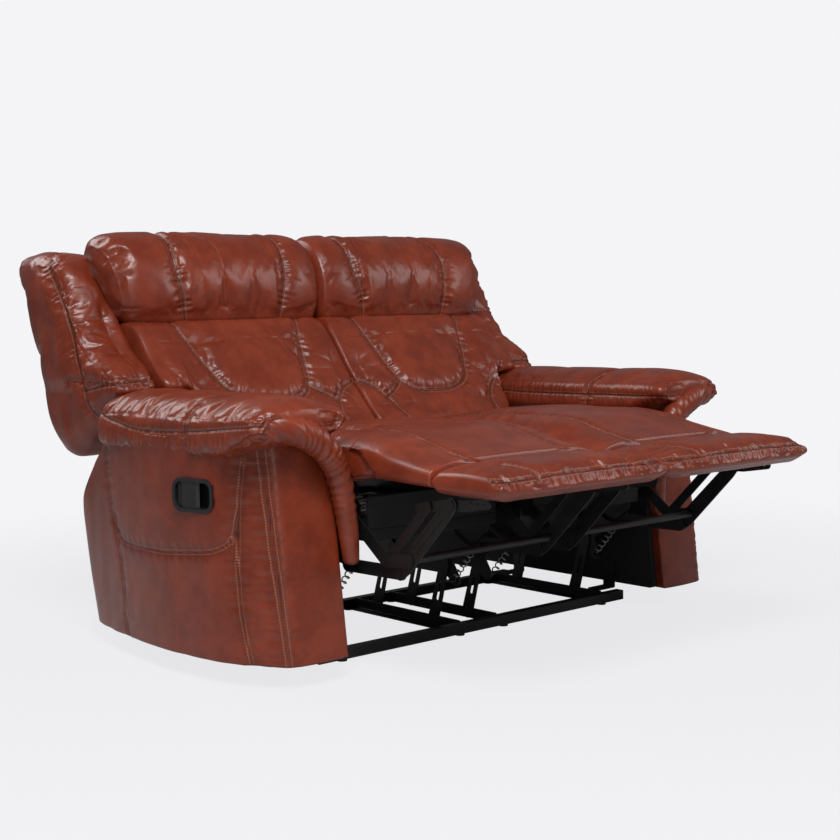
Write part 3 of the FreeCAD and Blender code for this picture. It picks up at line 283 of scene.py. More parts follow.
def ripple(points, wavelength, seed):
    """Smooth noise from -1 to 1: waves in many fixed directions added together."""
    rng = np.random.default_rng(seed)
    total = np.zeros(len(points))
    for _ in range(9):
        way = rng.normal(size=3)
        way /= np.linalg.norm(way)
        length = wavelength * rng.uniform(0.6, 1.7)
        total += np.sin(points @ way * (2 * math.pi / length) + rng.uniform(0, 2 * math.pi))
    return total / 4.5


def shell(name, rings, bulge_start=0.01, bulge_end=0.01, rounds=7):
    """A closed skin over a row of rings. Each end is rounded off towards the middle of its ring."""
    rings = [np.asarray(r) for r in rings]

    def dome(ring, inner, bulge):
        middle = ring.mean(axis=0)
        out = middle - inner.mean(axis=0)
        out /= np.linalg.norm(out)
        caps = []
        for k in range(1, rounds + 1):
            a = k / (rounds + 0.35) * math.pi / 2
            caps.append(middle + (ring - middle) * math.cos(a) ** 0.8 + out * bulge * math.sin(a))
        return caps

    head = dome(rings[0], rings[1], bulge_start)[::-1]
    tail = dome(rings[-1], rings[-2], bulge_end)
    rows = head + rings + tail
    n = len(rows[0])
    verts = np.vstack(rows)
    faces = []
    for i in range(len(rows) - 1):
        base = i * n
        for j in range(n):
            k = (j + 1) % n
            faces.append((base + j, base + k, base + n + k, base + n + j))
    first, last = len(verts), len(verts) + 1
    verts = np.vstack([verts, rows[0].mean(axis=0), rows[-1].mean(axis=0)])
    end = (len(rows) - 1) * n
    for j in range(n):
        k = (j + 1) % n
        faces.append((first, k, j))
        faces.append((last, end + j, end + k))
    mesh = bpy.data.meshes.new(name)
    mesh.from_pydata(verts.tolist(), [], faces)
    mesh.validate()
    piece = bpy.data.objects.new(name, mesh)
    bpy.context.scene.collection.objects.link(piece)
    tidy_normals(piece)
    return piece


def tidy_normals(piece):
    """Turns all faces outwards and shades them smooth."""
    only(piece)
    bpy.ops.object.mode_set(mode="EDIT")
    bpy.ops.mesh.select_all(action="SELECT")
    bpy.ops.mesh.normals_make_consistent(inside=False)
    bpy.ops.object.mode_set(mode="OBJECT")
    bpy.ops.object.shade_smooth()


def only(piece):
    bpy.ops.object.select_all(action="DESELECT")
    piece.select_set(True)
    bpy.context.view_layer.objects.active = piece


def positions(piece):
    co = np.empty(len(piece.data.vertices) * 3)
    piece.data.vertices.foreach_get("co", co)
    return co.reshape(-1, 3)


def outward(piece):
    way = np.empty(len(piece.data.vertices) * 3)
    piece.data.vertex_normals.foreach_get("vector", way)
    return way.reshape(-1, 3)


def set_positions(piece, co):
    piece.data.vertices.foreach_set("co", np.ascontiguousarray(co).ravel())
    piece.data.update()


def store(piece, name, values):
    attribute = piece.data.attributes.get(name) or piece.data.attributes.new(name, "FLOAT", "POINT")
    attribute.data.foreach_set("value", np.ascontiguousarray(values, dtype=np.float32))


def curve_through(points, step=0.004):
    """A smooth open curve through a few points of a plane."""
    p = np.asarray(points, float)
    length = np.linalg.norm(np.diff(p, axis=0), axis=1).sum()
    padded = np.vstack([2 * p[0] - p[1], p, 2 * p[-1] - p[-2]])
    count = max(int(length / step), 8)
    at = np.linspace(0, len(p) - 1, count)
    index = np.clip(at.astype(int), 0, len(p) - 2)
    t = (at - index)[:, None]
    a, b, c, d = (padded[index + k] for k in range(4))
    return 0.5 * (2 * b + (c - a) * t + (2 * a - 5 * b + 4 * c - d) * t ** 2
                  + (3 * b - a - 3 * c + d) * t ** 3)


class Seam:
    """A sewn line drawn in a flat view of the piece, on the faces that look towards that view."""

    def __init__(self, axes, points, facing, least=0.15, channel=0.004, width=0.013, pucker=0.0012):
        self.axes = axes
        self.line = curve_through(points)
        self.facing = facing
        self.least = least
        self.channel = channel
        self.width = width
        self.pucker = pucker

    def measure(self, co, way):
        """Distance of each point to the line, and how far along the line its nearest point is."""
        flat_points = co[:, self.axes]
        a, b = self.line[:-1], self.line[1:]
        run = b - a
        size = np.maximum((run ** 2).sum(axis=1), 1e-12)
        length = np.sqrt(size)
        start = np.concatenate([[0], np.cumsum(length)[:-1]])
        best = np.full(len(co), 1.0)
        along = np.zeros(len(co))
        low, high = self.line.min(axis=0) - SEAM_REACH, self.line.max(axis=0) + SEAM_REACH
        inside = np.all((flat_points > low) & (flat_points < high), axis=1)
        if self.facing is not None:
            inside &= way @ np.asarray(self.facing, float) > self.least
        chosen = np.nonzero(inside)[0]
        for i in range(len(a)):
            rel = flat_points[chosen] - a[i]
            t = np.clip((rel @ run[i]) / size[i], 0, 1)
            gap = np.linalg.norm(rel - t[:, None] * run[i], axis=1)
            closer = gap < best[chosen]
            where = chosen[closer]
            best[where] = gap[closer]
            along[where] = start[i] + t[closer] * length[i]
        return best, along


def sew(piece, seams):
    """Presses the seams into the piece, puckers the leather beside them, and marks them for the finish."""
    co, way = positions(piece), outward(piece)
    nearest = np.full(len(co), 1.0)
    run = np.zeros(len(co))
    shift = np.zeros(len(co))
    for number, seam in enumerate(seams):
        away, along = seam.measure(co, way)
        soft = np.exp(-(away / seam.width) ** 2)
        wave = np.sin(along * 2 * math.pi / 0.021 + 2.2 * np.sin(along * 2 * math.pi / 0.083 + number))
        shift -= seam.channel * soft
        shift -= 0.0016 * np.exp(-(away / 0.003) ** 2)
        shift += seam.pucker * wave * np.exp(-((away - 0.012) / 0.011) ** 2) * (away < 0.9)
        closer = away < nearest
        nearest[closer] = away[closer]
        run[closer] = along[closer]
    set_positions(piece, co + way * shift[:, None])
    store(piece, "seam", np.clip(SEAM_REACH - nearest, 0, SEAM_REACH))
    store(piece, "along", run)


def wrinkle(piece, amount, wavelength, seed, where=None, stretch=(1, 1, 1)):
    """Soft uneven waves in the hide. where gives a strength from 0 to 1 for each point."""
    co, way = positions(piece), outward(piece)
    wave = ripple(co * np.asarray(stretch), wavelength, seed)
    strength = 1.0 if where is None else where(co)
    set_positions(piece, co + way * (amount * wave * strength)[:, None])


def finer(piece):
    """One more subdivision, applied."""
    only(piece)
    smooth = piece.modifiers.new("smooth", "SUBSURF")
    smooth.levels = 1
    smooth.render_levels = 1
    bpy.ops.object.modifier_apply(modifier=smooth.name)


def stuffed(piece, seams, free, draw=0.004, limit=0.012, voxel=0.006):
    """Remeshes a skin evenly and lets it swell and buckle as cloth over its filling.

    It is held along its seams and where free is near 0, drawn in by draw first, and no point
    moves more than limit.
    """
    only(piece)
    piece.data.remesh_voxel_size = voxel
    bpy.ops.object.voxel_remesh()
    co, way = positions(piece), outward(piece)
    give = np.clip(free(co), 0, 1)
    set_positions(piece, co - way * (draw * give)[:, None])
    rest = positions(piece)
    held = give < 0.08
    for seam in seams:
        away = seam.measure(co, way)[0]
        held |= away < 0.7 * voxel
    group = piece.vertex_groups.new(name="groove_shaded")
    group.add(np.nonzero(held)[0].tolist(), 1.0, "REPLACE")
    cloth = piece.modifiers.new("cloth", "CLOTH")
    settings = cloth.settings
    settings.quality = 4
    settings.mass = 0.25
    settings.tension_stiffness = 18
    settings.compression_stiffness = 18
    settings.shear_stiffness = 6
    settings.bending_stiffness = 0.35
    settings.use_pressure = True
    settings.uniform_pressure_force = 4
    settings.shrink_min = -CLOTH_EXTRA
    settings.effector_weights.gravity = 0
    settings.vertex_group_mass = "groove_shaded"
    cloth.collision_settings.use_collision = False
    cloth.point_cache.frame_start = 1
    cloth.point_cache.frame_end = CLOTH_FRAMES
    for number in range(1, CLOTH_FRAMES + 1):
        bpy.context.scene.frame_set(number)
    swollen = piece.evaluated_get(bpy.context.evaluated_depsgraph_get())
    moved = np.empty(len(rest) * 3)
    swollen.data.vertices.foreach_get("co", moved)
    shift = moved.reshape(-1, 3) - rest
    size = np.maximum(np.linalg.norm(shift, axis=1), 1e-9)
    shift *= (limit * np.tanh(size / limit) / size * give)[:, None]
    piece.modifiers.remove(cloth)
    piece.vertex_groups.remove(group)
    bpy.context.scene.frame_set(1)
    set_positions(piece, rest + shift)
    finer(piece)
    bpy.ops.object.shade_smooth()


def mirrored(piece, name):
    """The same piece for the left side."""
    twin = piece.copy()
    twin.data = piece.data.copy()
    twin.name = name
    twin.data.name = name
    bpy.context.scene.collection.objects.link(twin)
    co = positions(twin)
    co[:, 0] *= -1
    set_positions(twin, co)
    only(twin)
    bpy.ops.object.mode_set(mode="EDIT")
    bpy.ops.mesh.select_all(action="SELECT")
    bpy.ops.mesh.flip_normals()
    bpy.ops.object.mode_set(mode="OBJECT")
    return twin


def dress(piece, slot):
    piece.data.materials.clear()
    piece.data.materials.append(FINISHES[slot])


def settle(piece, node, body, slot="leather", fold=None):
    """Finishes a right-hand piece, makes its left twin, and ties both to the model."""
    dress(piece, slot)
    for side in SIDES:
        each = piece if side == "right" else mirrored(piece, "left_" + piece.name.removeprefix("right_"))
        rides = "base" if body == "base" else f"{side}_{body}"
        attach(each, rides)
        if node:
            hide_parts(f"{side}_{node}")
        if fold:
            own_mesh(each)


# Seat, chaise and footrest

def seat_top(u, y):
    """Height of the leather across the seat and down to the footrest. u runs from -1 to 1 over the width."""
    centre = smooth_between([[0.508], [0.530], [0.543], [0.545], [0.538], [0.517], [0.494]],
                            [-0.140, 0.0, 0.20, 0.330, 0.42, 0.50, 0.602], -np.atleast_1d(y))[:, 0]
    edge = smooth_between([[0.030], [0.032], [0.034], [0.034], [0.028], [0.020]],
                          [-0.140, 0.0, 0.330, 0.45, 0.52, 0.602], -np.atleast_1d(y))[:, 0]
    wide = np.abs(u)
    crown = 1 - 0.20 * wide ** 2 - 0.80 * wide ** 7
    return centre - edge * (1 - crown)


def bun_ring(y, half, low, top_of, flare=0.0):
    """Section of a pad across its width: crowned top, round shoulders, straight drop and flat underside."""
    u = np.linspace(-1, 1, 61)
    top = top_of(u, np.full(61, y))
    side = 0.5 * (top[0] + low)
    xs = list(u * (half - 0.010))
    zs = list(top)
    shoulder = [(half - 0.003, top[-1] - 0.006), (half + flare, side), (half - 0.002, low + 0.010)]
    right = np.array(shoulder)
    left = right[::-1] * np.array([-1, 1])
    bottom_u = np.linspace(1, -1, 21)[1:-1]
    loop = [(a, b) for a, b in zip(xs, zs)] + [tuple(p) for p in right]
    loop += [(b * (half - 0.014), low) for b in bottom_u] + [tuple(p) for p in left]
    loop = smooth_loop(loop, PAD_POINTS)
    return np.column_stack([SEAT_CENTRE + loop[:, 0], np.full(len(loop), y), loop[:, 1]])


def swing_ring(angle, half, reach_of):
    """Section of the seat's round nose on a plane turned about the hinge line."""
    u = np.linspace(-1, 1, 61)
    radius = reach_of(u)
    xs = list(u * (half - 0.010))
    loop = [(a, b) for a, b in zip(xs, radius)]
    loop += [(half - 0.003, radius[-1] - 0.008), (half, 0.5 * radius[-1]), (half - 0.004, 0.006)]
    loop += [(b * (half - 0.014), 0.0) for b in np.linspace(1, -1, 21)[1:-1]]
    loop += [(-half + 0.004, 0.006), (-half, 0.5 * radius[0]), (-half + 0.003, radius[0] - 0.008)]
    loop = smooth_loop(loop, PAD_POINTS)
    a = math.radians(angle)
    return np.column_stack([SEAT_CENTRE + loop[:, 0], NOSE_Y + loop[:, 1] * math.cos(a),
                            NOSE_Z + loop[:, 1] * math.sin(a)])


def seat_cushion():
    rings = []
    for y in np.linspace(0.128, NOSE_Y, 70):
        low = 0.430 if y < NOSE_Y + 0.004 else 0.4295
        rings.append(bun_ring(y, SEAT_HALF, low, seat_top))
    reach = lambda u: seat_top(u, np.full(len(u), NOSE_Y)) - NOSE_Z
    for angle in np.linspace(97, 168, 22):
        rings.append(swing_ring(angle, SEAT_HALF, reach))
    return shell("right_seat", rings, 0.016, 0.010)


def chaise_pad():
    """The skin from the seat's nose to the footrest: thin where it lies on the nose, fuller in front."""
    rings = []
    low_of = lambda y: float(smooth_between([[0.536], [0.520], [0.482], [0.440], [0.434]],
                                            [0.330, 0.345, 0.38, 0.43, 0.602], np.array([-y]))[0, 0])
    lift = lambda u, y: seat_top(u, y) + 0.0012
    for y in np.linspace(NOSE_Y - 0.004, CREASE_Y + 0.004, 64):
        edge_low = min(low_of(y), float(seat_top(np.array([1.0]), np.array([y]))[0]) - 0.012)
        rings.append(bun_ring(y, SEAT_HALF + 0.001, edge_low, lift))
    return shell("right_chaise", rings, 0.001, 0.006)


def ottoman_top(u, y):
    """Height of the footrest pad: rises from the crease, crowned, and rounds off at the front."""
    y = np.atleast_1d(y)
    centre = smooth_between([[0.478], [0.489], [0.492], [0.488], [0.477]],
                            [0.604, 0.625, 0.70, 0.77, 0.805], -y)[:, 0]
    wide = np.abs(u)
    return centre - 0.014 * (0.25 * wide ** 2 + 0.75 * wide ** 6)


def ottoman_pad():
    rings = []
    for y in np.linspace(CREASE_Y - 0.003, -0.806, 60):
        low = float(smooth_between([[0.438], [0.424], [0.4235], [0.436]], [0.605, 0.622, 0.78, 0.806],
                                   np.array([-y]))[0, 0])
        rings.append(bun_ring(y, SEAT_HALF, low, ottoman_top, 0.002))
    return shell("right_ottoman", rings, 0.006, 0.013)


# Back

HEAD_PROFILE = [(0.456, 0.764), (0.426, 0.786), (0.412, 0.846), (0.424, 0.920), (0.462, 0.984),
                (0.514, 1.016), (0.566, 1.022), (0.612, 1.000), (0.632, 0.950), (0.616, 0.905),
                (0.576, 0.862), (0.540, 0.800), (0.505, 0.766)]


def headrest():
    """Roll over the top of the back, pulled in at its ends and pinched at two sewn channels."""
    profile = np.array(HEAD_PROFILE)
    middle = profile.mean(axis=0)
    keys, places = [], []
    for x, size, slant in ((0.005, 0.70, 0.0), (0.014, 0.86, 0.0), (0.040, 0.965, 0.0), (0.100, 1.0, 0.0),
                           (0.290, 1.01, 0.02), (0.440, 1.0, 0.10), (0.545, 0.97, 0.16), (0.585, 0.88, 0.18),
                           (0.606, 0.72, 0.18)):
        p = middle + (profile - middle) * size
        keys.append(np.column_stack([x + slant * (p[:, 1] - 0.785), p]))
        places.append(x)
    loops = np.array([smooth_loop(k, 110) for k in keys])
    rings = smooth_between(loops, places, np.linspace(places[0], places[-1], 130))
    return shell("right_headrest", rings, 0.004, 0.010)


LUMBAR_PROFILE = [(0.172, 0.440), (0.160, 0.472), (0.178, 0.508), (0.222, 0.552), (0.266, 0.600),
                  (0.310, 0.650), (0.350, 0.702), (0.390, 0.752), (0.424, 0.784), (0.476, 0.796),
                  (0.516, 0.780), (0.494, 0.726), (0.452, 0.650), (0.406, 0.566), (0.366, 0.492),
                  (0.334, 0.444), (0.280, 0.434), (0.220, 0.432)]


def lumbar_cushion():
    """Back cushion: full depth between the arms, then only its upper part, which spreads over them."""
    profile = np.array(LUMBAR_PROFILE)
    upper = profile.copy()
    upper[:, 1] = 0.600 + (profile[:, 1] - 0.432) * (0.192 / 0.364)
    upper[:, 0] = profile[:, 0] + (upper[:, 1] - profile[:, 1]) * 0.72
    keys, places = [], []
    for x, size, share in ((0.005, 0.86, 0.0), (0.016, 0.97, 0.0), (0.060, 1.0, 0.0), (0.270, 1.015, 0.0),
                           (0.470, 1.0, 0.0), (0.505, 0.97, 0.35), (0.530, 0.96, 1.0), (0.585, 0.96, 1.0),
                           (0.600, 0.90, 1.0)):
        p = profile * (1 - share) + upper * share
        middle = p.mean(axis=0)
        p = middle + (p - middle) * size
        keys.append(np.column_stack([np.full(len(p), x), p]))
        places.append(x)
    loops = np.array([smooth_loop(k, 130) for k in keys])
    rings = smooth_between(loops, places, np.linspace(places[0], places[-1], 130))
    return shell("right_lumbar", rings, 0.004, 0.006)


WING_PROFILE = [(0.298, 0.634), (0.346, 0.580), (0.426, 0.515), (0.495, 0.470), (0.550, 0.445),
                (0.606, 0.476), (0.672, 0.610), (0.744, 0.760), (0.806, 0.900), (0.814, 0.940),
                (0.780, 0.966), (0.680, 0.968), (0.590, 0.955), (0.530, 0.880), (0.480, 0.790),
                (0.410, 0.715)]


def wing_bolster():
    """Side of the back above the arm: a long upright roll whose outer skin is draped round to the rear."""
    profile = np.array(WING_PROFILE)
    middle = profile.mean(axis=0)
    keys, places = [], []
    for x, size in ((0.604, 0.93), (0.618, 0.985), (0.650, 1.0), (0.690, 0.995), (0.716, 0.955),
                    (0.730, 0.88)):
        p = middle + (profile - middle) * size
        keys.append(np.column_stack([np.full(len(p), x), p]))
        places.append(x)
    loops = np.array([smooth_loop(k, 150) for k in keys])
    rings = smooth_between(loops, places, np.linspace(places[0], places[-1], 44))
    return shell("right_wing", rings, 0.003, 0.012)


COVER_PROFILE = [(0.350, 0.384), (0.440, 0.548), (0.530, 0.716), (0.606, 0.862), (0.640, 0.912),
                 (0.690, 0.944), (0.745, 0.938), (0.762, 0.900), (0.716, 0.776), (0.650, 0.600),
                 (0.596, 0.452), (0.520, 0.405), (0.440, 0.378)]


def back_cover():
    profile = np.array(COVER_PROFILE)
    middle = profile.mean(axis=0)
    keys, places = [], []
    for x, size in ((0.010, 0.95), (0.024, 0.99), (0.060, 1.0), (0.300, 1.005), (0.560, 1.0), (0.590, 0.985),
                    (0.602, 0.94)):
        p = middle + (profile - middle) * size
        keys.append(np.column_stack([np.full(len(p), x), p]))
        places.append(x)
    loops = np.array([smooth_loop(k, 130) for k in keys])
    rings = smooth_between(loops, places, np.linspace(places[0], places[-1], 100))
    piece = shell("right_back_cover", rings, 0.002, 0.004)
    return piece


# Arms

def arm_pad():
    """Stuffed pad along the top of the arm; its nose ends above the arch of the front panel."""
    keys, places = [], []
    profile = np.array([(0.518, 0.560), (0.522, 0.520), (0.560, 0.492), (0.650, 0.488), (0.730, 0.488),
                        (0.776, 0.500), (0.786, 0.528), (0.780, 0.568), (0.752, 0.600), (0.700, 0.618),
                        (0.640, 0.624), (0.580, 0.614), (0.536, 0.594)])
    middle = np.array([0.652, 0.556])
    for y, size, lift, raised in ((0.318, 0.84, -0.004, 0.0), (0.300, 0.94, 0.0, 0.0),
                                  (0.250, 0.99, 0.0, 0.0), (0.100, 1.0, 0.0, 0.0),
                                  (-0.080, 1.0, 0.0, 0.0), (-0.220, 1.0, 0.002, 0.06),
                                  (-0.290, 1.0, 0.0, 0.30), (-0.320, 0.985, -0.004, 0.42),
                                  (-0.338, 0.94, -0.010, 0.48), (-0.350, 0.86, -0.017, 0.50)):
        p = middle + (profile - middle) * size + np.array([0, lift])
        p[:, 1] += raised * np.maximum(0.610 - p[:, 1], 0)
        keys.append(np.column_stack([p[:, 0], np.full(len(p), y), p[:, 1]]))
        places.append(-y)
    loops = np.array([smooth_loop(k, 110) for k in keys])
    rings = smooth_between(loops, places, np.linspace(places[0], places[-1], 120))
    return shell("right_arm_pad", rings, 0.006, 0.006)


def arm_front(height):
    """How far forward the arm's front panel is at a height: it leans back towards the top."""
    return -0.349 + 0.050 * (height - 0.048) / 0.480


def arm_body():
    """The upholstered box of the arm: bowed outer side, leaning front, under the pad."""
    keys, places = [], []
    for z in (0.049, 0.056, 0.20, 0.345, 0.44, 0.480, 0.505, 0.522, 0.534):
        front = arm_front(z)
        rear = float(smooth_between([[0.403], [0.440], [0.460], [0.400], [0.352], [0.330]],
                                    [0.048, 0.2, 0.34, 0.44, 0.5, 0.54], np.array([z]))[0, 0])
        round_in = 0.070 * max((z - 0.440) / 0.094, 0) ** 2.4
        ring = [(0.540 + round_in, front + 0.004 + 0.1 * round_in), (0.600 + 0.5 * round_in, front - 0.001),
                (0.660, front + 0.002), (0.692, front + 0.008),
                (0.722, front + 0.060), (0.746, front + 0.108), (0.770, -0.160), (0.782, -0.060),
                (0.786, 0.036), (0.778, 0.162), (0.762, 0.287), (0.742, rear - 0.018), (0.724, rear),
                (0.660, rear + 0.002), (0.600, rear + 0.002), (0.548, rear), (0.540, rear - 0.012),
                (0.539, 0.20), (0.539, 0.0), (0.539, -0.20),
                (0.539 + round_in, front + 0.016 + 0.1 * round_in)]
        p = np.array(ring)
        keys.append(np.column_stack([p[:, 0], p[:, 1], np.full(len(p), z)]))
        places.append(z)
    loops = np.array([smooth_loop(k, 200) for k in keys])
    rings = smooth_between(loops, places, np.linspace(places[0], places[-1], 90))
    return shell("right_arm", rings, 0.001, 0.006)


def front_roll():
    """The rolled band that arches over the arm's front panel and runs down its inner edge to a point."""
    path = np.array([(0.766, 0.548), (0.738, 0.561), (0.686, 0.560), (0.630, 0.541), (0.580, 0.504),
                     (0.545, 0.448), (0.528, 0.380), (0.521, 0.310), (0.519, 0.262)])
    shape = np.array([(0.026, -0.290), (0.029, -0.322), (0.031, -0.340), (0.032, -0.344), (0.031, -0.341),
                      (0.028, -0.334), (0.025, -0.332), (0.022, -0.335), (0.018, -0.338)])
    count = 110
    at = np.linspace(0, len(path) - 1, count)
    line = smooth_between(path, np.arange(len(path)), at)
    half, front = smooth_between(shape, np.arange(len(path)), at).T
    rings = []
    for i in range(count):
        before, after = line[max(i - 1, 0)], line[min(i + 1, count - 1)]
        run = (after - before) / np.linalg.norm(after - before)
        across = np.array([run[1], -run[0]])
        ring = []
        for a in np.linspace(0, 2 * math.pi, 48, endpoint=False):
            x, z = line[i] + across * (math.cos(a) * half[i])
            depth = -math.sin(a) * (0.006 + 0.75 * half[i])
            ring.append((x, front[i] + depth, z))
        rings.append(np.array(ring))
    piece = shell("right_arm_roll", rings, 0.010, 0.012)
    co, way = positions(piece), outward(piece)
    turn = np.arctan2(co[:, 2] - 0.440, co[:, 0] - 0.660)
    reach = np.hypot(co[:, 2] - 0.440, co[:, 0] - 0.660)
    wave = np.sin(turn * 34 + reach * 130 + 2.2 * np.sin(turn * 7)) * np.clip((co[:, 2] - 0.31) / 0.08, 0, 1)
    set_positions(piece, co + way * (0.0016 * wave * np.clip((0.760 - co[:, 0]) / 0.02, 0, 1))[:, None])
    return piece


CUP_CENTRE = (0.779, -0.115, 0.410)
CUP_TURN = math.radians(-11)
CUP_HOLE = (0.090, 0.120, 0.069)


def cup_hole(piece):
    """Opens the arm's skin where the handle cup is let in."""
    bpy.ops.mesh.primitive_cube_add(size=1, location=CUP_CENTRE, rotation=(0, 0, CUP_TURN))
    cutter = bpy.context.active_object
    cutter.scale = CUP_HOLE
    bpy.ops.object.transform_apply(location=False, rotation=False, scale=True)
    edge = cutter.modifiers.new("round", "BEVEL")
    edge.width = 0.022
    edge.segments = 6
    edge.limit_method = "NONE"
    bpy.ops.object.modifier_apply(modifier=edge.name)
    only(piece)
    hole = piece.modifiers.new("hole", "BOOLEAN")
    hole.operation = "DIFFERENCE"
    hole.solver = "EXACT"
    hole.object = cutter
    bpy.ops.object.modifier_apply(modifier=hole.name)
    bpy.data.objects.remove(cutter)


FRONT = (0, -1, 0)
TOP = (0, 0, 1)
SIDE = (1, 0, 0)


def level_lines(y0, y1, facing=TOP):
    """The two sewn channels that run from the back to the footrest's edge."""
    return [Seam((0, 1), [(x, y0), (x, (y0 + y1) / 2), (x, y1)], facing)
            for x in (SEAT_CENTRE - CHANNEL_OFFSET, SEAT_CENTRE + CHANNEL_OFFSET)]


HEAD_SEAMS = [Seam((0, 2), [(0.148, 0.76), (0.140, 0.83), (0.122, 0.91), (0.108, 1.04)], None, channel=0.005),
              Seam((0, 2), [(0.440, 0.76), (0.455, 0.86), (0.464, 0.94), (0.452, 1.04)], None, channel=0.005)]
LUMBAR_SEAMS = [Seam((0, 2), [(0.094, 0.80), (0.126, 0.703), (0.150, 0.628), (0.185, 0.590), (0.262, 0.578),
                              (0.345, 0.584), (0.408, 0.612), (0.440, 0.665), (0.462, 0.715),
                              (0.495, 0.80)], FRONT, 0.1),
                Seam((0, 2), [(0.004, 0.616), (0.050, 0.600), (0.088, 0.562), (0.108, 0.505),
                              (0.112, 0.43)], FRONT, 0.1),
                Seam((0, 2), [(0.152, 0.606), (0.118, 0.585), (0.084, 0.572)], FRONT, 0.1),
                Seam((0, 2), [(0.508, 0.602), (0.478, 0.575), (0.448, 0.530), (0.440, 0.43)], FRONT, 0.1)]
WING_SEAMS = [Seam((1, 2), [(0.665, 0.985), (0.620, 0.930), (0.545, 0.845), (0.470, 0.695), (0.432, 0.597),
                            (0.372, 0.520)], SIDE, 0.1, channel=0.005),
              Seam((0, 2), [(0.598, 0.650), (0.660, 0.646), (0.745, 0.640)], FRONT, 0.1),
              Seam((1, 2), [(0.290, 0.640), (0.360, 0.632), (0.440, 0.618)], SIDE, 0.1)]
PAD_SEAMS = [Seam((1, 2), [(-0.090, 0.46), (-0.086, 0.56), (-0.094, 0.66)], None, channel=0.005),
             Seam((1, 2), [(0.330, 0.578), (0.205, 0.556), (0.089, 0.543), (-0.085, 0.548), (-0.294, 0.566),
                           (-0.37, 0.572)], SIDE, 0.1, channel=0.004),
             Seam((1, 2), [(0.330, 0.566), (0.100, 0.560), (-0.200, 0.562), (-0.37, 0.560)], (-1, 0, 0), 0.1)]
ARM_SEAMS = [Seam((1, 2), [(0.305, 0.52), (0.282, 0.40), (0.245, 0.29), (0.215, 0.21), (0.190, 0.03)],
                  SIDE, 0.1, channel=0.002),
             Seam((1, 2), [(-0.238, 0.52), (-0.228, 0.44), (-0.224, 0.33), (-0.232, 0.19), (-0.266, 0.03)],
                  SIDE, 0.1, channel=0.002),
             Seam((1, 2), [(0.262, 0.330), (0.235, 0.290), (0.185, 0.272), (0.030, 0.272), (-0.100, 0.282),
                           (-0.178, 0.294), (-0.212, 0.322), (-0.224, 0.380)], SIDE, 0.1, channel=0.002),
             Seam((0, 2), [(0.706, 0.52), (0.704, 0.40), (0.700, 0.26), (0.692, 0.03)], FRONT, 0.05,
                  channel=0.002)]
COVER_SEAMS = [Seam((0, 2), [(0.150, 0.36), (0.150, 0.70), (0.150, 1.0)], None, channel=0.003),
               Seam((0, 2), [(0.440, 0.36), (0.440, 0.70), (0.440, 1.0)], None, channel=0.003)]


def pad_gathers(piece):
    """Upright folds in the strip under the arm pad's long seam."""
    co, way = positions(piece), outward(piece)
    low = np.clip((0.556 - co[:, 2]) / 0.020, 0, 1) * np.clip((co[:, 2] - 0.484) / 0.012, 0, 1)
    turn = co[:, 1] * 2 * math.pi / 0.026
    wave = np.sin(turn + 2.4 * np.sin(turn * 0.23) + co[:, 2] * 40)
    set_positions(piece, co + way * (0.0020 * wave * low * (co[:, 0] > 0.60))[:, None])


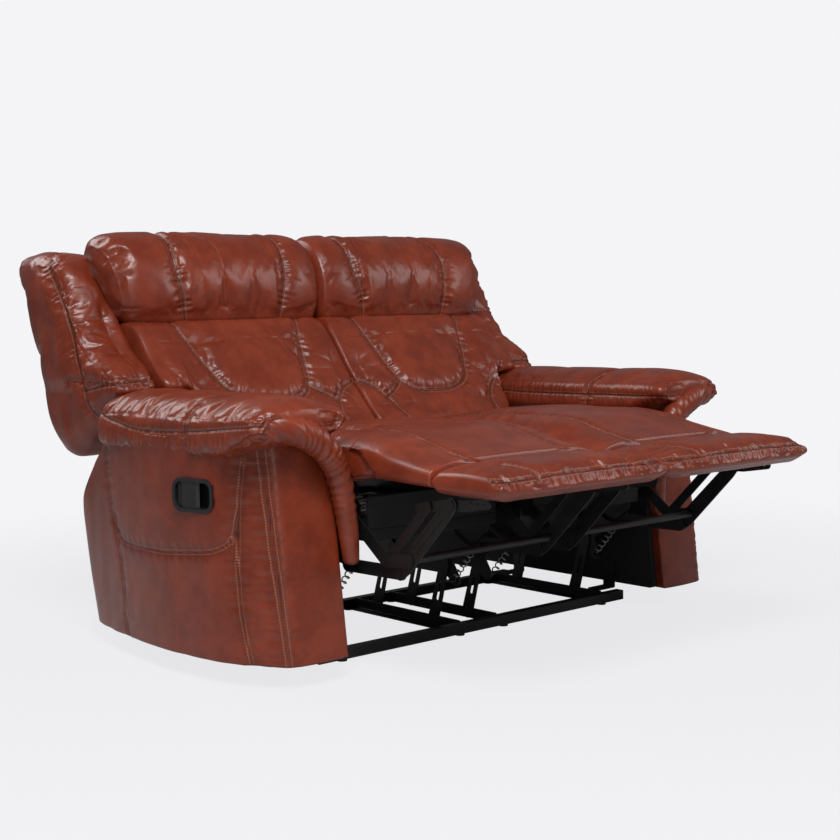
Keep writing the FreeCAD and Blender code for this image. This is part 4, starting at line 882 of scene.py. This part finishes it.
def make_soft_pieces():
    seat = seat_cushion()
    lines = level_lines(0.14, -0.46)
    stuffed(seat, lines, lambda co: np.minimum(np.minimum((0.04 - co[:, 1]) / 0.10, (co[:, 1] + 0.30) / 0.05),
                                               (SEAT_HALF - 0.006 - abs(co[:, 0] - SEAT_CENTRE)) / 0.03)
            * (co[:, 2] > 0.45), limit=0.009, voxel=0.007)
    sew(seat, lines)
    settle(seat, "seat_cushion", "carriage")
    chaise = chaise_pad()
    sew(chaise, level_lines(-0.32, -0.62))
    settle(chaise, "chaise_pad", "chaise",
           fold={"joint": "footrest", "axis": (0, 1, 0), "anchor": (0, NOSE_Y, NOSE_Z), "keep": 0.5})
    ottoman = ottoman_pad()
    rim = Seam((0, 2), [(0.0, 0.468), (0.14, 0.471), (0.26, 0.472), (0.38, 0.471), (0.52, 0.468)], FRONT, 0.1,
               channel=0.0025)
    lines = level_lines(-0.60, -0.83)
    stuffed(ottoman, lines, lambda co: np.minimum((-0.625 - co[:, 1]) / 0.03,
                                                  (SEAT_HALF - 0.008 - abs(co[:, 0] - SEAT_CENTRE)) / 0.02)
            * (co[:, 2] > 0.45), draw=0.002, limit=0.006)
    sew(ottoman, lines + [rim])
    settle(ottoman, "ottoman_pad", "ottoman")
    head = headrest()
    stuffed(head, HEAD_SEAMS, lambda co: np.minimum((co[:, 0] - 0.012) / 0.03, (co[:, 2] - 0.79) / 0.03),
            draw=0.006, limit=0.016)
    sew(head, HEAD_SEAMS)
    wrinkle(head, 0.0016, 0.045, 3, lambda co: np.clip((co[:, 0] - 0.50) / 0.10, 0, 1), (1, 0.5, 1))
    settle(head, "headrest", "back")
    lumbar = lumbar_cushion()
    stuffed(lumbar, LUMBAR_SEAMS, lambda co: np.minimum(np.minimum((co[:, 0] - 0.010) / 0.03,
                                                                   (0.585 - co[:, 0]) / 0.03),
                                                        np.minimum((0.765 - co[:, 2]) / 0.03,
                                                                   (co[:, 2] - 0.50) / 0.05)),
            draw=0.005, limit=0.014, voxel=0.0072)
    sew(lumbar, LUMBAR_SEAMS)
    settle(lumbar, "lumbar_cushion", "back")
    wing = wing_bolster()
    stuffed(wing, WING_SEAMS, lambda co: np.minimum((co[:, 0] - 0.615) / 0.03, (co[:, 2] - 0.60) / 0.05),
            draw=0.006, limit=0.014)
    sew(wing, WING_SEAMS)
    wrinkle(wing, 0.0030, 0.075, 8, lambda co: np.clip((co[:, 1] - 0.40) / 0.08, 0, 1), (1, 1, 0.45))
    settle(wing, "wing_bolster", "back")
    cover = back_cover()
    sew(cover, COVER_SEAMS)
    wrinkle(cover, 0.0022, 0.12, 11, lambda co: np.clip((co[:, 1] - 0.45) / 0.05, 0, 1), (1, 1, 0.5))
    settle(cover, "back_cover", "back")
    pad = arm_pad()
    stuffed(pad, PAD_SEAMS, lambda co: np.minimum(np.minimum((0.30 - co[:, 1]) / 0.04,
                                                             (co[:, 0] - 0.530) / 0.03),
                                                  (co[:, 2] - 0.50) / 0.03) * (co[:, 0] < 0.775),
            draw=0.004, limit=0.010)
    sew(pad, PAD_SEAMS)
    pad_gathers(pad)
    settle(pad, "arm_pad", "base")
    roll = front_roll()
    settle(roll, None, "base")
    arm = arm_body()
    cup_hole(arm)
    sew(arm, ARM_SEAMS)
    wrinkle(arm, 0.0008, 0.070, 5, lambda co: np.clip((co[:, 0] - 0.70) / 0.04, 0, 1), (1, 1.0, 0.5))
    settle(arm, "arm_body", "base")


def wrapped_box():
    """The seat frame in its dark fabric: four wrapped rails, and a tall and a low band in front."""
    bars = [((SEAT_CENTRE, -0.310, 0.317), (0.388, 0.024, 0.054)),
            ((SEAT_CENTRE, 0.136, 0.317), (0.388, 0.028, 0.054)),
            ((0.080, -0.089, 0.317), (0.028, 0.422, 0.054)),
            ((0.440, -0.089, 0.317), (0.028, 0.422, 0.054)),
            ((SEAT_CENTRE, -0.322, 0.355), (0.396, 0.008, 0.074)),
            ((SEAT_CENTRE, -0.3225, 0.304), (0.392, 0.006, 0.028))]
    made = []
    for place, size in bars:
        bpy.ops.mesh.primitive_cube_add(size=1, location=place)
        bar = bpy.context.active_object
        bar.scale = size
        bpy.ops.object.transform_apply(location=True, rotation=False, scale=True)
        edge = bar.modifiers.new("round", "BEVEL")
        edge.width = 0.0028
        edge.segments = 3
        bpy.ops.object.modifier_apply(modifier=edge.name)
        made.append(bar)
    bpy.ops.object.select_all(action="DESELECT")
    for bar in made:
        bar.select_set(True)
    bpy.context.view_layer.objects.active = made[0]
    bpy.ops.object.join()
    box = bpy.context.active_object
    box.name = "right_seat_frame"
    bpy.ops.object.shade_smooth_by_angle(angle=math.radians(40))
    settle(box, "seat_box", "carriage", slot="black_board")


def finish_frame_parts():
    """Gives every CAD node the finish of its material slot."""
    slots = {part["node"]: part["material_slot"] for part in frame["record"]["subparts"]}
    for name, node in frame["nodes"].items():
        node.data.materials.clear()
        node.data.materials.append(FINISHES[slots[name]])


# Room

def studio():
    floor_mesh = bpy.data.meshes.new("floor")
    floor_mesh.from_pydata([(-14, -14, 0), (14, -14, 0), (14, 14, 0), (-14, 14, 0)], [], [(0, 1, 2, 3)])
    floor = bpy.data.objects.new("floor", floor_mesh)
    bpy.context.scene.collection.objects.link(floor)
    paper = Finish("studio_floor", Roughness=0.9)
    paper.put(paper.surface.inputs["Base Color"], (0.62, 0.62, 0.63, 1))
    far = paper.node("VectorMath", {"operation": "LENGTH"}, {0: paper.place}, "Value")
    seen = paper.node("LightPath", output="Is Camera Ray")
    share = seen * paper.fade(far, 1.0, 3.0, 0.86, 1.0)
    glow = paper.node("Emission", {}, {"Color": BACKDROP, "Strength": 1.0})
    both = paper.node("MixShader", {}, {0: share, 1: Value(paper, paper.surface.outputs[0]), 2: glow})
    paper.put(paper.tree.nodes["Material Output"].inputs["Surface"], both)
    floor.data.materials.append(paper.material)
    world = bpy.data.worlds.new("studio")
    bpy.context.scene.world = world
    world.use_nodes = True
    tree = world.node_tree
    tree.nodes.clear()
    out = tree.nodes.new("ShaderNodeOutputWorld")
    plain = tree.nodes.new("ShaderNodeBackground")
    backdrop = tree.nodes.new("ShaderNodeBackground")
    mix = tree.nodes.new("ShaderNodeMixShader")
    path = tree.nodes.new("ShaderNodeLightPath")
    plain.inputs["Color"].default_value = (0.86, 0.87, 0.90, 1)
    plain.inputs["Strength"].default_value = 0.17
    backdrop.inputs["Color"].default_value = BACKDROP
    backdrop.inputs["Strength"].default_value = 1.0
    tree.links.new(path.outputs["Is Camera Ray"], mix.inputs[0])
    tree.links.new(plain.outputs[0], mix.inputs[1])
    tree.links.new(backdrop.outputs[0], mix.inputs[2])
    tree.links.new(mix.outputs[0], out.inputs["Surface"])
    for name, place, size, power in (("key", (-1.7, -1.9, 3.4), 1.5, 112),
                                     ("fill", (3.0, -3.0, 2.6), 2.0, 44),
                                     ("front", (-3.4, -3.2, 1.3), 2.0, 16),
                                     ("rim", (-1.2, 2.6, 3.0), 1.6, 36)):
        lamp = bpy.data.lights.new(name, "AREA")
        lamp.energy = power
        lamp.size = size
        holder = bpy.data.objects.new(name, lamp)
        holder.location = place
        holder.rotation_euler = (Vector((0, 0, 0.5)) - Vector(place)).to_track_quat("-Z", "Y").to_euler()
        bpy.context.scene.collection.objects.link(holder)


def camera():
    """The photograph's viewpoint: from the left front, a little above the arms."""
    yaw, pitch, roll = math.radians(41.056), math.radians(4.473), math.radians(-1.066)
    ahead = Vector((math.sin(yaw) * math.cos(pitch), math.cos(yaw) * math.cos(pitch), -math.sin(pitch)))
    right = Vector((math.cos(yaw), -math.sin(yaw), 0))
    up = right.cross(ahead)
    x = right * math.cos(roll) + up * math.sin(roll)
    y = up * math.cos(roll) - right * math.sin(roll)
    turn = Matrix((x, y, -ahead)).transposed()
    lens = bpy.data.cameras.new("camera")
    lens.lens = 63.69
    lens.sensor_width = 36
    lens.sensor_fit = "HORIZONTAL"
    holder = bpy.data.objects.new("camera", lens)
    holder.matrix_world = Matrix.Translation((-2.5221, -2.8770, 0.8187)) @ turn.to_4x4()
    bpy.context.scene.collection.objects.link(holder)
    bpy.context.scene.camera = holder


finish_frame_parts()
make_soft_pieces()
wrapped_box()
studio()
camera()
bpy.context.scene.view_settings.view_transform = "Standard"
